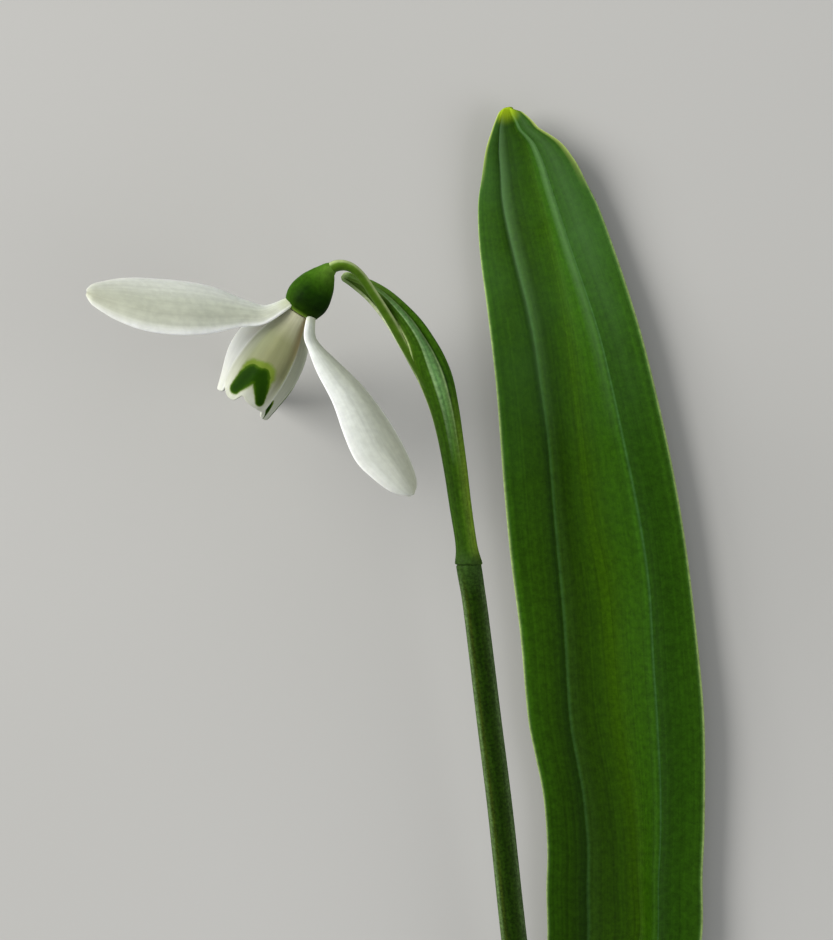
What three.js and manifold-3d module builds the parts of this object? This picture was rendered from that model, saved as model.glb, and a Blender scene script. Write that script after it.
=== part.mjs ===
// A picked snowdrop lying on its back: one flower on its scape, with its spathe and one broad leaf,
// held together at the cut end by the basal sheath.
//
// Millimetres. The plant lies along +Y with its cut end at -Y, its flower hangs towards -X, and +Z is up
// from the surface that it lies on. Shapes are drawn in the plant's own frame, whose Y = 0 is level with
// the middle of the spathe, and the outermost group moves them so that the origin is on the surface, under
// the middle of the whole plant.

import * as THREE from 'three';
import { mergeVertices } from 'three/addons/utils/BufferGeometryUtils.js';
import Module from 'manifold-3d';

// ---------------------------------------------------------------------------------------------------
// Driving dimensions, mm

const GAP = 0.3;                     // clearance between touching pieces
const CUT_END_Y = -77;               // where the plant was cut from its bulb

const LEAF_TIP_Y = 36.25;
const LEAF_THICKNESS = 0.7;
const FURROW_AT = 0.5;               // share of the half width, from midrib to margin
const FURROW_DEPTH = 0.35;
const FURROW_HALF_WIDTH = 0.06;      // share of the half width
const KEEL_HALF_WIDTH = 0.09;        // share of the half width that is flat under the midrib
const KEEL_WEAR = 0.02;              // how much of the keel the flat underside takes off
const LEAF_ROLL = [60, 70];          // distances below Y = 0 between which the flat blade rolls into a gutter
const LEAF_ROWS = 36;
const LEAF_TIP_CROWDING = 1.25;      // above 1, rows stand closer together towards the rounded tip
const FURROW_FADE = [2.5, 9];        // leaf widths between which the furrows deepen
const MARGIN_EASE = 1.2;             // above 1, the blade still rises at its margins

const SHEATH_MIDDLE_X = 13.55;
const SHEATH_MIDDLE_Z = 2.95;
const SHEATH_HALF_WIDTH = 5.05;
const SHEATH_HALF_HEIGHT = 3.15;
const SHEATH_WALL = 0.6;
const SHEATH_LENGTH_ABOVE = 6.5;     // its mouth is cut slantwise, longer on the underside
const SHEATH_LENGTH_BELOW = 11;
const SHEATH_SIDES = 24;
const SHEATH_ROWS = 4;

const SCAPE_RADIUS_TOP = 1.2;
const SCAPE_RADIUS_CUT = 1.38;
const NODE_SWELLING = 0.06;          // the collar where the scape meets the spathe
const NODE_SPAN = [0.95, 0.995];     // shares of the scape's length
const SCAPE_FLATTENING = 0.9;        // depth over width

const PEDICEL_RADIUS = 0.46;
const PEDICEL_TOP_RADIUS = 0.58;     // where it widens into the ovary
const PEDICEL_WIDENING = [0.9, 1];   // shares of its length
const STEM_STEPS = 26;

const SPATHE_THICKNESS = 0.6;
const SPATHE_TIP_DROP = 0.9;         // how far the open blade bows down towards its tip
const SPATHE_HOOK_RADIUS = 0.4;
const SPATHE_ROWS = 20;
const SPATHE_COLUMNS = 8;

const OVARY_LENGTH = 5.4;
const OVARY_RADIUS = 2.2;
const OVARY_BASE_RADIUS = 1.8;
const OVARY_BASE_ROUNDING = 0.2;

const TEPAL_THICKNESS = 0.6;
const TEPAL_RING_START = 0.4;        // from the ovary's base to the foot of every tepal
const OUTER_RING_RADIUS = 1.8;
const OUTER_CLAW_TWIST_END = 0.22;   // share of the length over which the claw turns into the blade
const OUTER_ROWS = 20;
const OUTER_COLUMNS = 8;
const INNER_TEPAL_LENGTH = 10.9;
const INNER_NOTCH_DEPTH = 0.7;
const INNER_TIP_TAPER = 0.3;         // share of the width lost at the tip
const INNER_TEPAL_SPACING = 0.46;    // slit between the margins of neighbours
const INNER_ROWS = 14;
const INNER_COLUMNS = 8;

const STAMEN_COLUMN_LENGTH = 1.1;
const STAMEN_COLUMN_RADII = [0.4, 0.8];   // at the ovary and at the anthers
const ANTHER_LENGTH = 5.4;
const ANTHER_RADIUS = 0.42;
const ANTHER_RING_RADIUS = 0.66;
const ANTHER_SINK = 0.15;            // how far an anther's foot is sunk into the column
const ANTHER_LEAN = 0.05;            // radians towards the axis
const ANTHER_COUNT = 6;
const STYLE_RADIUS = 0.2;
const STYLE_LENGTH = 6.6;

// The flower hangs 32 degrees left of straight down, its mouth turned 10 degrees away from +Z.
const FLOWER_PLACE = new THREE.Vector3(-11.46, 15.56, 18.0);   // middle of the ovary's base
const FLOWER_LEAN = THREE.MathUtils.degToRad(-32);
const FLOWER_NOD = THREE.MathUtils.degToRad(10);
const FLOWER_ROLL = THREE.MathUtils.degToRad(-4);

// The surface point under the middle of the whole plant, in the plant's own frame.
const PLANT_MIDDLE = new THREE.Vector3(-1.606, -20.366, 0);

// ---------------------------------------------------------------------------------------------------
// Materials

function finish(color, roughness) {
  return new THREE.MeshStandardMaterial({ color, roughness, metalness: 0, side: THREE.DoubleSide });
}

const LEAF_GREEN = finish('#3d6b14', 0.45);
const SCAPE_GREEN = finish('#54702c', 0.5);
const SPATHE_GREEN = finish('#6d8c3c', 0.5);
const PEDICEL_GREEN = finish('#8aa650', 0.5);
const OVARY_GREEN = finish('#2f5410', 0.45);
const TEPAL_WHITE = finish('#e6e8dc', 0.6);
const SHEATH_CREAM = finish('#d8d7b4', 0.6);
const ANTHER_YELLOW = finish('#e0a63c', 0.7);
const STYLE_CREAM = finish('#e9ecd2', 0.6);

// ---------------------------------------------------------------------------------------------------
// Shape helpers

const vec = (x, y, z) => new THREE.Vector3(x, y, z);
const smoothstep = THREE.MathUtils.smoothstep;
const lerp = THREE.MathUtils.lerp;

// Smooth values between stations: each row is [position, value, value, ...], positions rising.
function stations(rows) {
  const positions = rows.map((row) => row[0]);
  const values = rows.flatMap((row) => row.slice(1));
  const curve = new THREE.CubicInterpolant(positions, values, rows[0].length - 1);
  return (position) => Array.from(curve.evaluate(position));
}

// A closed blade. point(u, v) is its middle surface, u from 0 at the foot to 1 at the tip and v from -1 to
// +1 across; it is thickened by half its thickness to each side, with both faces split alike. Nothing
// reaches below the surface z = 0 when flatBelow is set.
function bladeGeometry({ rows, columns, point, thickness, flatBelow = false }) {
  const sheet = new THREE.PlaneGeometry(1, 1, columns, rows);
  const middle = sheet.attributes.position;
  for (let row = 0; row <= rows; row++) {
    for (let column = 0; column <= columns; column++) {
      const place = point(row / rows, (2 * column) / columns - 1);
      middle.setXYZ(row * (columns + 1) + column, place.x, place.y, place.z);
    }
  }
  sheet.computeVertexNormals();

  const count = middle.count;
  const places = new Float32Array(count * 6);
  for (let i = 0; i < count; i++) {
    for (const [start, side] of [[0, 1], [count, -1]]) {
      const place = vec().fromBufferAttribute(sheet.attributes.normal, i).multiplyScalar((side * thickness) / 2);
      place.add(vec().fromBufferAttribute(middle, i));
      if (flatBelow) place.z = Math.max(place.z, 0);
      place.toArray(places, (start + i) * 3);
    }
  }

  const face = Array.from(sheet.index.array);
  const faces = [...face];
  for (let i = 0; i < face.length; i += 3) {
    faces.push(count + face[i], count + face[i + 2], count + face[i + 1]);
  }
  const rim = [];
  for (let row = 0; row < rows; row++) rim.push(row * (columns + 1));
  for (let column = 0; column < columns; column++) rim.push(rows * (columns + 1) + column);
  for (let row = rows; row > 0; row--) rim.push(row * (columns + 1) + columns);
  for (let column = columns; column > 0; column--) rim.push(column);
  rim.forEach((here, i) => {
    const next = rim[(i + 1) % rim.length];
    faces.push(here, here + count, next, next, here + count, next + count);
  });

  const blade = new THREE.BufferGeometry();
  blade.setAttribute('position', new THREE.BufferAttribute(places, 3));
  blade.setIndex(faces);
  return blade;
}

// A closed round body along a curve: a unit cylinder whose rings are moved onto the curve and given the
// radii [across, up] that radii(along) returns.
function stemGeometry({ path, steps, sides, radii }) {
  const body = new THREE.CylinderGeometry(1, 1, 1, sides, steps);
  const places = body.attributes.position;
  for (let i = 0; i < places.count; i++) {
    const along = places.getY(i) + 0.5;
    const tangent = path.getTangentAt(along);
    const across = vec().crossVectors(tangent, vec(0, 0, 1)).normalize();
    const up = vec().crossVectors(across, tangent);
    const [acrossRadius, upRadius] = radii(along);
    const place = path.getPointAt(along);
    place.addScaledVector(across, places.getX(i) * acrossRadius);
    place.addScaledVector(up, places.getZ(i) * upRadius);
    places.setXYZ(i, place.x, place.y, place.z);
  }
  return weld(body);
}

function weld(geometry) {
  geometry.deleteAttribute('normal');
  geometry.deleteAttribute('uv');
  return mergeVertices(geometry, 1e-4);
}

const wasm = await Module();
wasm.setup();

function toSolid(geometry) {
  const { position } = geometry.attributes;
  return new wasm.Manifold(new wasm.Mesh({
    numProp: 3,
    vertProperties: new Float32Array(position.array),
    triVerts: new Uint32Array(geometry.index.array),
  }));
}

function fromSolid(solid) {
  const mesh = solid.getMesh();
  const geometry = new THREE.BufferGeometry();
  geometry.setAttribute('position', new THREE.BufferAttribute(mesh.vertProperties, 3));
  geometry.setIndex(new THREE.BufferAttribute(mesh.triVerts, 1));
  return geometry;
}

function piece(name, geometry, material) {
  const mesh = new THREE.Mesh(geometry, material);
  mesh.name = name;
  return mesh;
}

// ---------------------------------------------------------------------------------------------------
// Leaf: a broad strap with a channelled midrib and a furrow half way out on each side. Each station is
// [y, left margin x, right margin x, height of the keel's underside, rise of the margins above the keel].

const leafAt = stations([
  [-77, 9.9, 17.1, 0.92, 2.3],
  [-71, 9.9, 17.1, 0.92, 2.3],
  [-68, 9.95, 17.15, 0.92, 2.3],
  [-66, 10.15, 18.0, 0.92, 2.3],
  [-63, 10.8, 21.3, 0.7, 2.15],
  [-58, 11.8, 24.4, 0.25, 2.0],
  [-53, 12.6, 26.9, 0.05, 2.0],
  [-47, 13.0, 28.45, 0, 2.1],
  [-38, 13.05, 28.7, 0, 2.2],
  [-32.5, 12.6, 28.8, 0, 2.2],
  [-28.5, 11.8, 28.75, 0, 2.3],
  [-25, 11.2, 28.7, 0, 2.2],
  [-16.4, 10.35, 27.9, 0, 2.2],
  [-8.5, 9.35, 27.0, 0, 2.3],
  [1, 8.5, 25.4, 0, 2.3],
  [8.2, 7.95, 23.8, 0, 2.3],
  [16, 7.05, 21.7, 0.02, 2.2],
  [22, 6.3, 19.75, 0.1, 2.0],
  [26.5, 6.15, 18.05, 0.35, 1.8],
  [29.3, 6.5, 16.7, 0.7, 1.7],
  [31.9, 6.95, 15.0, 1.2, 1.6],
  [33.5, 7.45, 13.1, 1.7, 1.3],
  [34.8, 7.95, 11.5, 2.2, 0.8],
  [35.6, 8.3, 10.6, 2.5, 0.4],
  [36.25, 8.8, 9.7, 2.8, 0.1],
]);

// The columns across the leaf, each side: midrib, edge of the flat keel, ridge, furrow, ridge, margin.
const LEAF_COLUMNS = [
  0, KEEL_HALF_WIDTH, 0.28, FURROW_AT - FURROW_HALF_WIDTH, FURROW_AT, FURROW_AT + FURROW_HALF_WIDTH, 0.8, 1,
];

function leafGeometry() {
  const half = LEAF_COLUMNS.length - 1;
  return bladeGeometry({
    rows: LEAF_ROWS,
    columns: 2 * half,
    thickness: LEAF_THICKNESS,
    flatBelow: true,
    point: (u, v) => {
      const y = lerp(CUT_END_Y, LEAF_TIP_Y, 1 - (1 - u) ** LEAF_TIP_CROWDING);
      const [left, right, keel, rise] = leafAt(y);
      const width = right - left;
      const out = LEAF_COLUMNS[Math.round(Math.abs(v) * half)];
      const furrow = out === FURROW_AT ? FURROW_DEPTH * smoothstep(width, ...FURROW_FADE) : 0;
      const slope = (share) => smoothstep(share, KEEL_HALF_WIDTH, MARGIN_EASE);
      const opened = (rise * slope(out)) / slope(1) - furrow;
      const rolled = rise * out * out;
      const height = lerp(opened, rolled, smoothstep(-y, ...LEAF_ROLL));
      return vec(
        (left + right) / 2 + (Math.sign(v) * out * width) / 2,
        y,
        keel + (out <= KEEL_HALF_WIDTH ? 0 : height) + LEAF_THICKNESS / 2 - KEEL_WEAR,
      );
    },
  });
}

// ---------------------------------------------------------------------------------------------------
// Basal sheath: the membranous tube that holds the leaf and the scape together. Its underside is flat where
// it lies on the surface.

function sheathGeometry() {
  // The wall's outline runs up the outside and down the inside; the lathe turns it into a closed ring, and
  // its rings are then stretched to the oval of the sheath.
  const outline = [];
  for (let row = 0; row <= SHEATH_ROWS; row++) outline.push(new THREE.Vector2(1, row / SHEATH_ROWS));
  for (let row = SHEATH_ROWS; row >= 0; row--) outline.push(new THREE.Vector2(0, row / SHEATH_ROWS));
  outline.push(outline[0].clone());
  const ring = new THREE.LatheGeometry(outline, SHEATH_SIDES);
  const places = ring.attributes.position;
  for (let i = 0; i < places.count; i++) {
    const column = Math.floor(i / outline.length);
    const corner = outline[i % outline.length];
    const angle = (column / SHEATH_SIDES) * 2 * Math.PI;
    const inward = (1 - corner.x) * SHEATH_WALL;
    const length = lerp(SHEATH_LENGTH_BELOW, SHEATH_LENGTH_ABOVE, (1 + Math.cos(angle)) / 2);
    const x = SHEATH_MIDDLE_X + Math.sin(angle) * (SHEATH_HALF_WIDTH - inward);
    const z = SHEATH_MIDDLE_Z + Math.cos(angle) * (SHEATH_HALF_HEIGHT - inward);
    const floor = corner.x === 1 ? 0 : SHEATH_WALL;
    places.setXYZ(i, x, CUT_END_Y + corner.y * length, Math.max(z, floor));
  }
  return weld(ring);
}

// ---------------------------------------------------------------------------------------------------
// Scape: the flower's stem, from the cut end up to the node under the spathe.

const scapePath = new THREE.CatmullRomCurve3([
  vec(13.4, CUT_END_Y, 3.35),
  vec(12.75, -71, 3.75),
  vec(11.9, -64, 4.7),
  vec(10.95, -56.5, 6.0),
  vec(9.65, -46.2, 7.8),
  vec(8.27, -33.5, 9.8),
  vec(7.17, -24.7, 11.3),
  vec(6.27, -17.3, 12.7),
  vec(5.72, -13.0, 13.6),
  vec(5.12, -9.4, 14.4),
], false, 'centripetal');

function scapeGeometry() {
  return stemGeometry({
    path: scapePath,
    steps: STEM_STEPS,
    sides: 12,
    radii: (along) => {
      const collar = NODE_SWELLING * smoothstep(along, ...NODE_SPAN);
      const radius = lerp(SCAPE_RADIUS_CUT, SCAPE_RADIUS_TOP, along) + collar;
      return [radius, radius * SCAPE_FLATTENING];
    },
  });
}

// ---------------------------------------------------------------------------------------------------
// Pedicel: the thin stalk that leaves the spathe, arches over and carries the ovary.

const pedicelPath = new THREE.CatmullRomCurve3([
  vec(2.6, 5.2, 16.35),
  vec(1.85, 6.9, 16.65),
  vec(0.8, 8.8, 16.95),
  vec(-0.35, 10.8, 17.25),
  vec(-1.4, 12.6, 17.6),
  vec(-2.45, 14.5, 18.1),
  vec(-3.65, 16.4, 18.6),
  vec(-4.35, 17.45, 18.85),
  vec(-4.9, 18.3, 19.05),
  vec(-5.55, 19.15, 19.25),
  vec(-6.3, 19.8, 19.35),
  vec(-7.05, 20.07, 19.35),
  vec(-7.75, 20.05, 19.3),
  vec(-8.2, 19.88, 19.25),
], false, 'centripetal');

// The socket that the spathe and the ovary keep for it: the same route, reaching past both ends.
const pedicelSocketPath = new THREE.CatmullRomCurve3([
  pedicelPath.points[0].clone().addScaledVector(pedicelPath.getTangentAt(0), -GAP),
  ...pedicelPath.points.slice(1, -1),
  pedicelPath.points.at(-1).clone().addScaledVector(pedicelPath.getTangentAt(1), GAP),
], false, 'centripetal');

function pedicelGeometry(path = pedicelPath, extra = 0) {
  return stemGeometry({
    path,
    steps: STEM_STEPS,
    sides: 10,
    radii: (along) => {
      const radius = lerp(PEDICEL_RADIUS, PEDICEL_TOP_RADIUS, smoothstep(along, ...PEDICEL_WIDENING)) + extra;
      return [radius, radius];
    },
  });
}

// ---------------------------------------------------------------------------------------------------
// Spathe: two bracts grown into one. Its lower part is closed round the foot of the pedicel; above that it
// opens into a trough that the pedicel lies in, with a keel and an outer wing on its right.

const spatheTubePath = new THREE.CatmullRomCurve3([
  vec(5.06, -9.0, 14.5),
  vec(4.8, -6.7, 14.8),
  vec(4.3, -3.4, 15.15),
  vec(3.8, 0.05, 15.5),
  vec(3.35, 3.0, 15.8),
  vec(3.05, 4.9, 15.95),
], false, 'centripetal');

const spatheTubeAt = stations([
  [0, 1.17, 1.05],
  [0.06, 1.1, 0.98],
  [0.16, 0.94, 0.88],
  [0.35, 0.95, 0.9],
  [0.65, 1.0, 0.98],
  [0.88, 1.05, 1.05],
  [1, 0.8, 0.75],
]);

// Margins of the open part, from the tube to the hooked tip.
const spatheLeft = new THREE.CatmullRomCurve3([
  vec(3.15, 0.1, 15.6),
  vec(2.4, 3.9, 15.4),
  vec(1.75, 5.9, 15.75),
  vec(0.6, 8.4, 16.35),
  vec(-0.8, 11.1, 17.1),
  vec(-2.0, 13.1, 17.5),
  vec(-3.2, 15.0, 17.7),
  vec(-4.45, 16.4, 17.8),
  vec(-5.8, 17.65, 17.9),
  vec(-6.6, 18.35, 18.0),
  vec(-7.05, 18.85, 18.0),
], false, 'centripetal');
const spatheRight = new THREE.CatmullRomCurve3([
  vec(4.45, 0.2, 15.6),
  vec(4.0, 4.3, 16.0),
  vec(3.65, 6.4, 16.3),
  vec(3.0, 9.0, 16.7),
  vec(1.8, 11.9, 17.2),
  vec(0.5, 13.9, 17.6),
  vec(-1.15, 15.9, 17.9),
  vec(-2.6, 17.15, 18.0),
  vec(-4.2, 17.95, 17.9),
  vec(-5.5, 18.55, 17.9),
  vec(-6.75, 19.4, 18.0),
], false, 'centripetal');
const spatheHook = vec(-7.1, 19.1, 17.15);

// Height across the open part: low trough, high keel, groove, wing.
const spatheSectionAt = stations([
  [-1, -0.5], [-0.6, -1.0], [-0.25, -0.75], [0.05, 0.35], [0.3, 0.75], [0.52, 0.25], [0.8, 0.1], [1, -0.6],
]);

// Along the open part: the share of that height, and the share of the tip's drop.
const spatheShapeAt = stations([
  [0, 0.25, 0], [0.1, 0.32, 0], [0.2, 0.57, 0], [0.3, 0.86, 0], [0.4, 1, 0], [0.6, 1, 0],
  [0.75, 0.5, 0.65], [0.88, 0, 1], [1, 0, 1],
]);

function spatheGeometry() {
  const tube = stemGeometry({ path: spatheTubePath, steps: 12, sides: 12, radii: (along) => spatheTubeAt(along) });
  const open = bladeGeometry({
    rows: SPATHE_ROWS,
    columns: SPATHE_COLUMNS,
    thickness: SPATHE_THICKNESS,
    point: (u, v) => {
      const place = vec().lerpVectors(spatheLeft.getPoint(u), spatheRight.getPoint(u), (v + 1) / 2);
      const [depth, drop] = spatheShapeAt(u);
      place.z += spatheSectionAt(v)[0] * depth - SPATHE_TIP_DROP * drop;
      return place;
    },
  });
  const hook = weld(new THREE.SphereGeometry(SPATHE_HOOK_RADIUS, 8, 6));
  hook.translate(...spatheHook.toArray());
  const clearance = toSolid(pedicelGeometry(pedicelSocketPath, GAP));
  return fromSolid(toSolid(tube).add(toSolid(open)).add(toSolid(hook)).subtract(clearance));
}

// ---------------------------------------------------------------------------------------------------
// Flower group: its own +Y runs from the ovary's base up to the pedicel and the tepals hang along -Y.
// Azimuth 0 faces the group's +Z.

const flower = new THREE.Group();
flower.name = 'flower';
flower.position.copy(FLOWER_PLACE);
flower.rotation.set(FLOWER_NOD, FLOWER_ROLL, FLOWER_LEAN, 'ZXY');
flower.updateMatrixWorld();

// Ovary: an egg-shaped green body, turned on the flower's axis.
function ovaryGeometry() {
  const outline = [
    [0, 0], [OVARY_BASE_RADIUS - OVARY_BASE_ROUNDING, 0], [OVARY_BASE_RADIUS, OVARY_BASE_ROUNDING],
    [0.93 * OVARY_RADIUS, 0.22 * OVARY_LENGTH],
    [OVARY_RADIUS, 0.42 * OVARY_LENGTH], [0.93 * OVARY_RADIUS, 0.62 * OVARY_LENGTH],
    [0.72 * OVARY_RADIUS, 0.8 * OVARY_LENGTH], [0.42 * OVARY_RADIUS, 0.93 * OVARY_LENGTH],
    [0.2 * OVARY_RADIUS, OVARY_LENGTH], [0, OVARY_LENGTH],
  ].map(([radius, height]) => new THREE.Vector2(radius, height));
  const egg = toSolid(weld(new THREE.LatheGeometry(outline, 18)));
  const socket = pedicelGeometry(pedicelSocketPath, GAP).applyMatrix4(flower.matrixWorld.clone().invert());
  return fromSolid(egg.subtract(toSolid(socket)));
}

// Inner tepals: three stiff notched tepals round a cup. The cup's radius at each distance below the ovary:
const cupRadiusAt = stations([
  [0, 0.95], [0.4, 0.98], [1.2, 1.4], [2, 1.93], [3.5, 2.75], [5, 3.15], [7, 3.3], [9, 3.1], [11.5, 2.7],
]);

const innerTepals = {
  inner_tepal_front: { azimuth: 0, flare: 0.1 },
  inner_tepal_right: { azimuth: 120, flare: 0.6 },
  inner_tepal_left: { azimuth: -120, flare: 0 },
};

function innerTepalGeometry({ azimuth, flare }) {
  const turn = THREE.MathUtils.degToRad(azimuth);
  return bladeGeometry({
    rows: INNER_ROWS,
    columns: INNER_COLUMNS,
    thickness: TEPAL_THICKNESS,
    point: (u, v) => {
      // Two rounded lobes with a notch between them at the tip.
      const fromLobe = 2 * (Math.abs(v) - 0.5);
      const tip = INNER_TEPAL_LENGTH - INNER_NOTCH_DEPTH * fromLobe ** 2;
      const down = lerp(TEPAL_RING_START, tip, u);
      const radius = cupRadiusAt(down)[0] + flare * smoothstep(u, 0.45, 1);
      const reach = Math.PI / 3 - INNER_TEPAL_SPACING / 2 / radius;
      const angle = turn + v * reach * (1 - INNER_TIP_TAPER * smoothstep(u, 0.75, 1));
      return vec(radius * Math.sin(angle), -down, radius * Math.cos(angle));
    },
  });
}

// Outer tepals: three spoon-shaped tepals on narrow claws, spread wide. Each is drawn in the plant's frame:
// the points of its middle line, its half width along it, the direction across its blade, and how deeply
// it is cupped, as a share of its half width. At its foot it lies flat against the ovary's rim.
const outerTepals = {
  outer_tepal_left: {
    azimuth: -60,
    line: [[-14.8, 15.3, 19.5], [-17.05, 15.35, 20.2], [-19.9, 15.6, 21.0], [-22.7, 15.8, 22.0],
      [-26.2, 16.1, 23.1], [-28.8, 16.55, 23.9], [-30.8, 16.95, 24.6], [-32.1, 17.25, 25.1]],
    halfWidths: [0.85, 1.2, 2.0, 3.35, 3.95, 3.85, 3.15, 1.95, 0.5],
    across: [-0.03, -0.68, 0.73],
    cup: 0.28,
  },
  outer_tepal_right: {
    azimuth: 60,
    line: [[-10.55, 13.3, 19.7], [-10.05, 12.0, 20.15], [-8.7, 10.0, 20.95], [-6.75, 7.35, 22.2],
      [-5.1, 4.35, 23.6], [-3.75, 1.85, 24.7], [-2.45, 0.05, 25.6], [-1.25, -1.55, 26.3], [-0.5, -2.45, 26.7]],
    halfWidths: [0.75, 0.85, 1.0, 1.9, 2.8, 3.7, 3.95, 3.35, 2.2, 0.7],
    across: [0.535, 0.27, -0.8],
    cup: 0.28,
  },
  outer_tepal_back: {
    azimuth: 180,
    line: [[-12.0, 14.6, 14.9], [-13.3, 12.8, 12.0], [-14.6, 10.8, 8.4], [-15.7, 9.0, 4.6],
      [-16.4, 8.0, 1.8], [-16.7, 7.7, 0.1]],
    halfWidths: [0.8, 1.2, 2.0, 2.75, 2.8, 1.9, 0.6],
    across: [-0.82, 0.56, -0.1],
    cup: 0.55,
  },
};

function outerTepalGeometry({ azimuth, line, halfWidths, across, cup }) {
  const turn = THREE.MathUtils.degToRad(azimuth);
  const foot = vec(Math.sin(turn), 0, Math.cos(turn)).multiplyScalar(OUTER_RING_RADIUS);
  foot.y = -TEPAL_RING_START;
  foot.applyMatrix4(flower.matrixWorld);
  const footAcross = vec(Math.cos(turn), 0, -Math.sin(turn)).transformDirection(flower.matrixWorld);
  const bladeAcross = vec(...across).normalize();
  const middle = new THREE.CatmullRomCurve3([foot, ...line.map((point) => vec(...point))], false, 'centripetal');
  const widthAt = stations(halfWidths.map((width, i) => [i / (halfWidths.length - 1), width]));

  return bladeGeometry({
    rows: OUTER_ROWS,
    columns: OUTER_COLUMNS,
    thickness: TEPAL_THICKNESS,
    flatBelow: true,
    point: (u, v) => {
      const direction = footAcross.clone().lerp(bladeAcross, smoothstep(u, 0, OUTER_CLAW_TWIST_END)).normalize();
      const outward = vec().crossVectors(middle.getTangent(u), direction).normalize();
      const [halfWidth] = widthAt(u);
      const place = middle.getPoint(u).addScaledVector(direction, halfWidth * v);
      return place.addScaledVector(outward, cup * halfWidth * (1 - v * v));
    },
  });
}

// Stamens: six anthers that lean together into a cone on one short column.
function stamensGeometry() {
  const column = new THREE.CylinderGeometry(...STAMEN_COLUMN_RADII, STAMEN_COLUMN_LENGTH, 12);
  column.translate(0, -(TEPAL_RING_START + STAMEN_COLUMN_LENGTH / 2), 0);
  const antherFoot = TEPAL_RING_START + STAMEN_COLUMN_LENGTH - ANTHER_SINK;
  let cone = toSolid(weld(column));
  for (let i = 0; i < ANTHER_COUNT; i++) {
    const outline = [[0, 0], [0.75, 0.05], [1, 0.25], [0.85, 0.6], [0.35, 0.95], [0, 1]]
      .map(([radius, height]) => new THREE.Vector2(radius * ANTHER_RADIUS, height * ANTHER_LENGTH));
    const anther = weld(new THREE.LatheGeometry(outline, 6));
    const lean = new THREE.Matrix4().makeRotationX(Math.PI - ANTHER_LEAN);
    const place = new THREE.Matrix4().makeTranslation(0, -antherFoot, ANTHER_RING_RADIUS);
    const around = new THREE.Matrix4().makeRotationY((i / ANTHER_COUNT) * 2 * Math.PI);
    anther.applyMatrix4(around.multiply(place).multiply(lean));
    cone = cone.add(toSolid(anther));
  }
  return fromSolid(cone);
}

function styleGeometry() {
  const outline = [[0, 0], [0.8, 0], [1, 0.3], [1, 0.96], [0.5, 1], [0, 1]]
    .map(([radius, height]) => new THREE.Vector2(radius * STYLE_RADIUS, -height * STYLE_LENGTH));
  const style = weld(new THREE.LatheGeometry(outline.reverse(), 8));
  style.translate(0, -(TEPAL_RING_START + STAMEN_COLUMN_LENGTH + GAP), 0);
  return style;
}

// ---------------------------------------------------------------------------------------------------
// The plant

const plant = new THREE.Group();
plant.name = 'snowdrop';
plant.position.copy(PLANT_MIDDLE).negate();

plant.add(piece('leaf', leafGeometry(), LEAF_GREEN));
plant.add(piece('basal_sheath', sheathGeometry(), SHEATH_CREAM));
plant.add(piece('scape', scapeGeometry(), SCAPE_GREEN));
plant.add(piece('spathe', spatheGeometry(), SPATHE_GREEN));
plant.add(piece('pedicel', pedicelGeometry(), PEDICEL_GREEN));
for (const [name, tepal] of Object.entries(outerTepals)) {
  plant.add(piece(name, outerTepalGeometry(tepal), TEPAL_WHITE));
}

flower.add(piece('ovary', ovaryGeometry(), OVARY_GREEN));
for (const [name, tepal] of Object.entries(innerTepals)) {
  flower.add(piece(name, innerTepalGeometry(tepal), TEPAL_WHITE));
}
flower.add(piece('stamens', stamensGeometry(), ANTHER_YELLOW));
flower.add(piece('style', styleGeometry(), STYLE_CREAM));
plant.add(flower);

export default plant;
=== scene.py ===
# %% [markdown]
# # A picked snowdrop
#
# One snowdrop flower lies on a pale table: a nodding white flower on its green scape, the spathe that
# sheltered the bud, and one broad leaf, all held at the cut end by a papery sheath. Every piece here is thin,
# curved and slightly translucent, so the lesson is mostly about two things: growing a curved blade out of a
# flat grid, and giving plant skin its colour.
#
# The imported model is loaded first. It is a fixed frame: each finished piece stands where its plain solid
# stands, and replaces it.

# %% Load the frame
import math

import bmesh
import bpy
from mathutils import Matrix, Vector, noise


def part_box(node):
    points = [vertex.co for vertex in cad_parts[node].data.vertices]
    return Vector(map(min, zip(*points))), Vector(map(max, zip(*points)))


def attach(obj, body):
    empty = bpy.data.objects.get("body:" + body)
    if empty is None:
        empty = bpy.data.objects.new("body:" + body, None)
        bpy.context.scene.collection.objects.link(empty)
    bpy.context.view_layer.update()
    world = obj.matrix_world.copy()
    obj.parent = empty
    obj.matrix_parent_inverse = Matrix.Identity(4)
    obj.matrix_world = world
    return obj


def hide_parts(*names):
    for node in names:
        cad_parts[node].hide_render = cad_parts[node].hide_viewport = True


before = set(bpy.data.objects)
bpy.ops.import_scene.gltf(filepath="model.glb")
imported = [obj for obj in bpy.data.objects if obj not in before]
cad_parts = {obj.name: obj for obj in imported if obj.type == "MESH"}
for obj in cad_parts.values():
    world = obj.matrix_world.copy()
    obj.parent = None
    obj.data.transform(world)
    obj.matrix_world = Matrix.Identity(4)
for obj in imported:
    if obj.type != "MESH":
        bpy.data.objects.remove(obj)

scene = bpy.context.scene
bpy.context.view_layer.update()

# %% [markdown]
# ## Millimetres and the plant's own place
#
# A flower is measured in millimetres and Blender works in metres, so one function turns a place in the plant
# into a place in the scene. In the plant's own measures, Y = 0 is a little below the middle of the spathe and
# the cut end is at Y = -77. Where that lies in the scene is read from the sheath's solid, which starts
# exactly at the cut end, so the drawing and the frame can't drift apart.

# %% Millimetres
MM = 0.001
CUT_END_Y = -77
SHEATH_MIDDLE_X = 13.55

sheath_low, sheath_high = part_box("basal_sheath")
PLANT_SHIFT = Vector((
    (sheath_low.x + sheath_high.x) / 2 - SHEATH_MIDDLE_X * MM,
    sheath_low.y - CUT_END_Y * MM,
    0,
))


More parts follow.
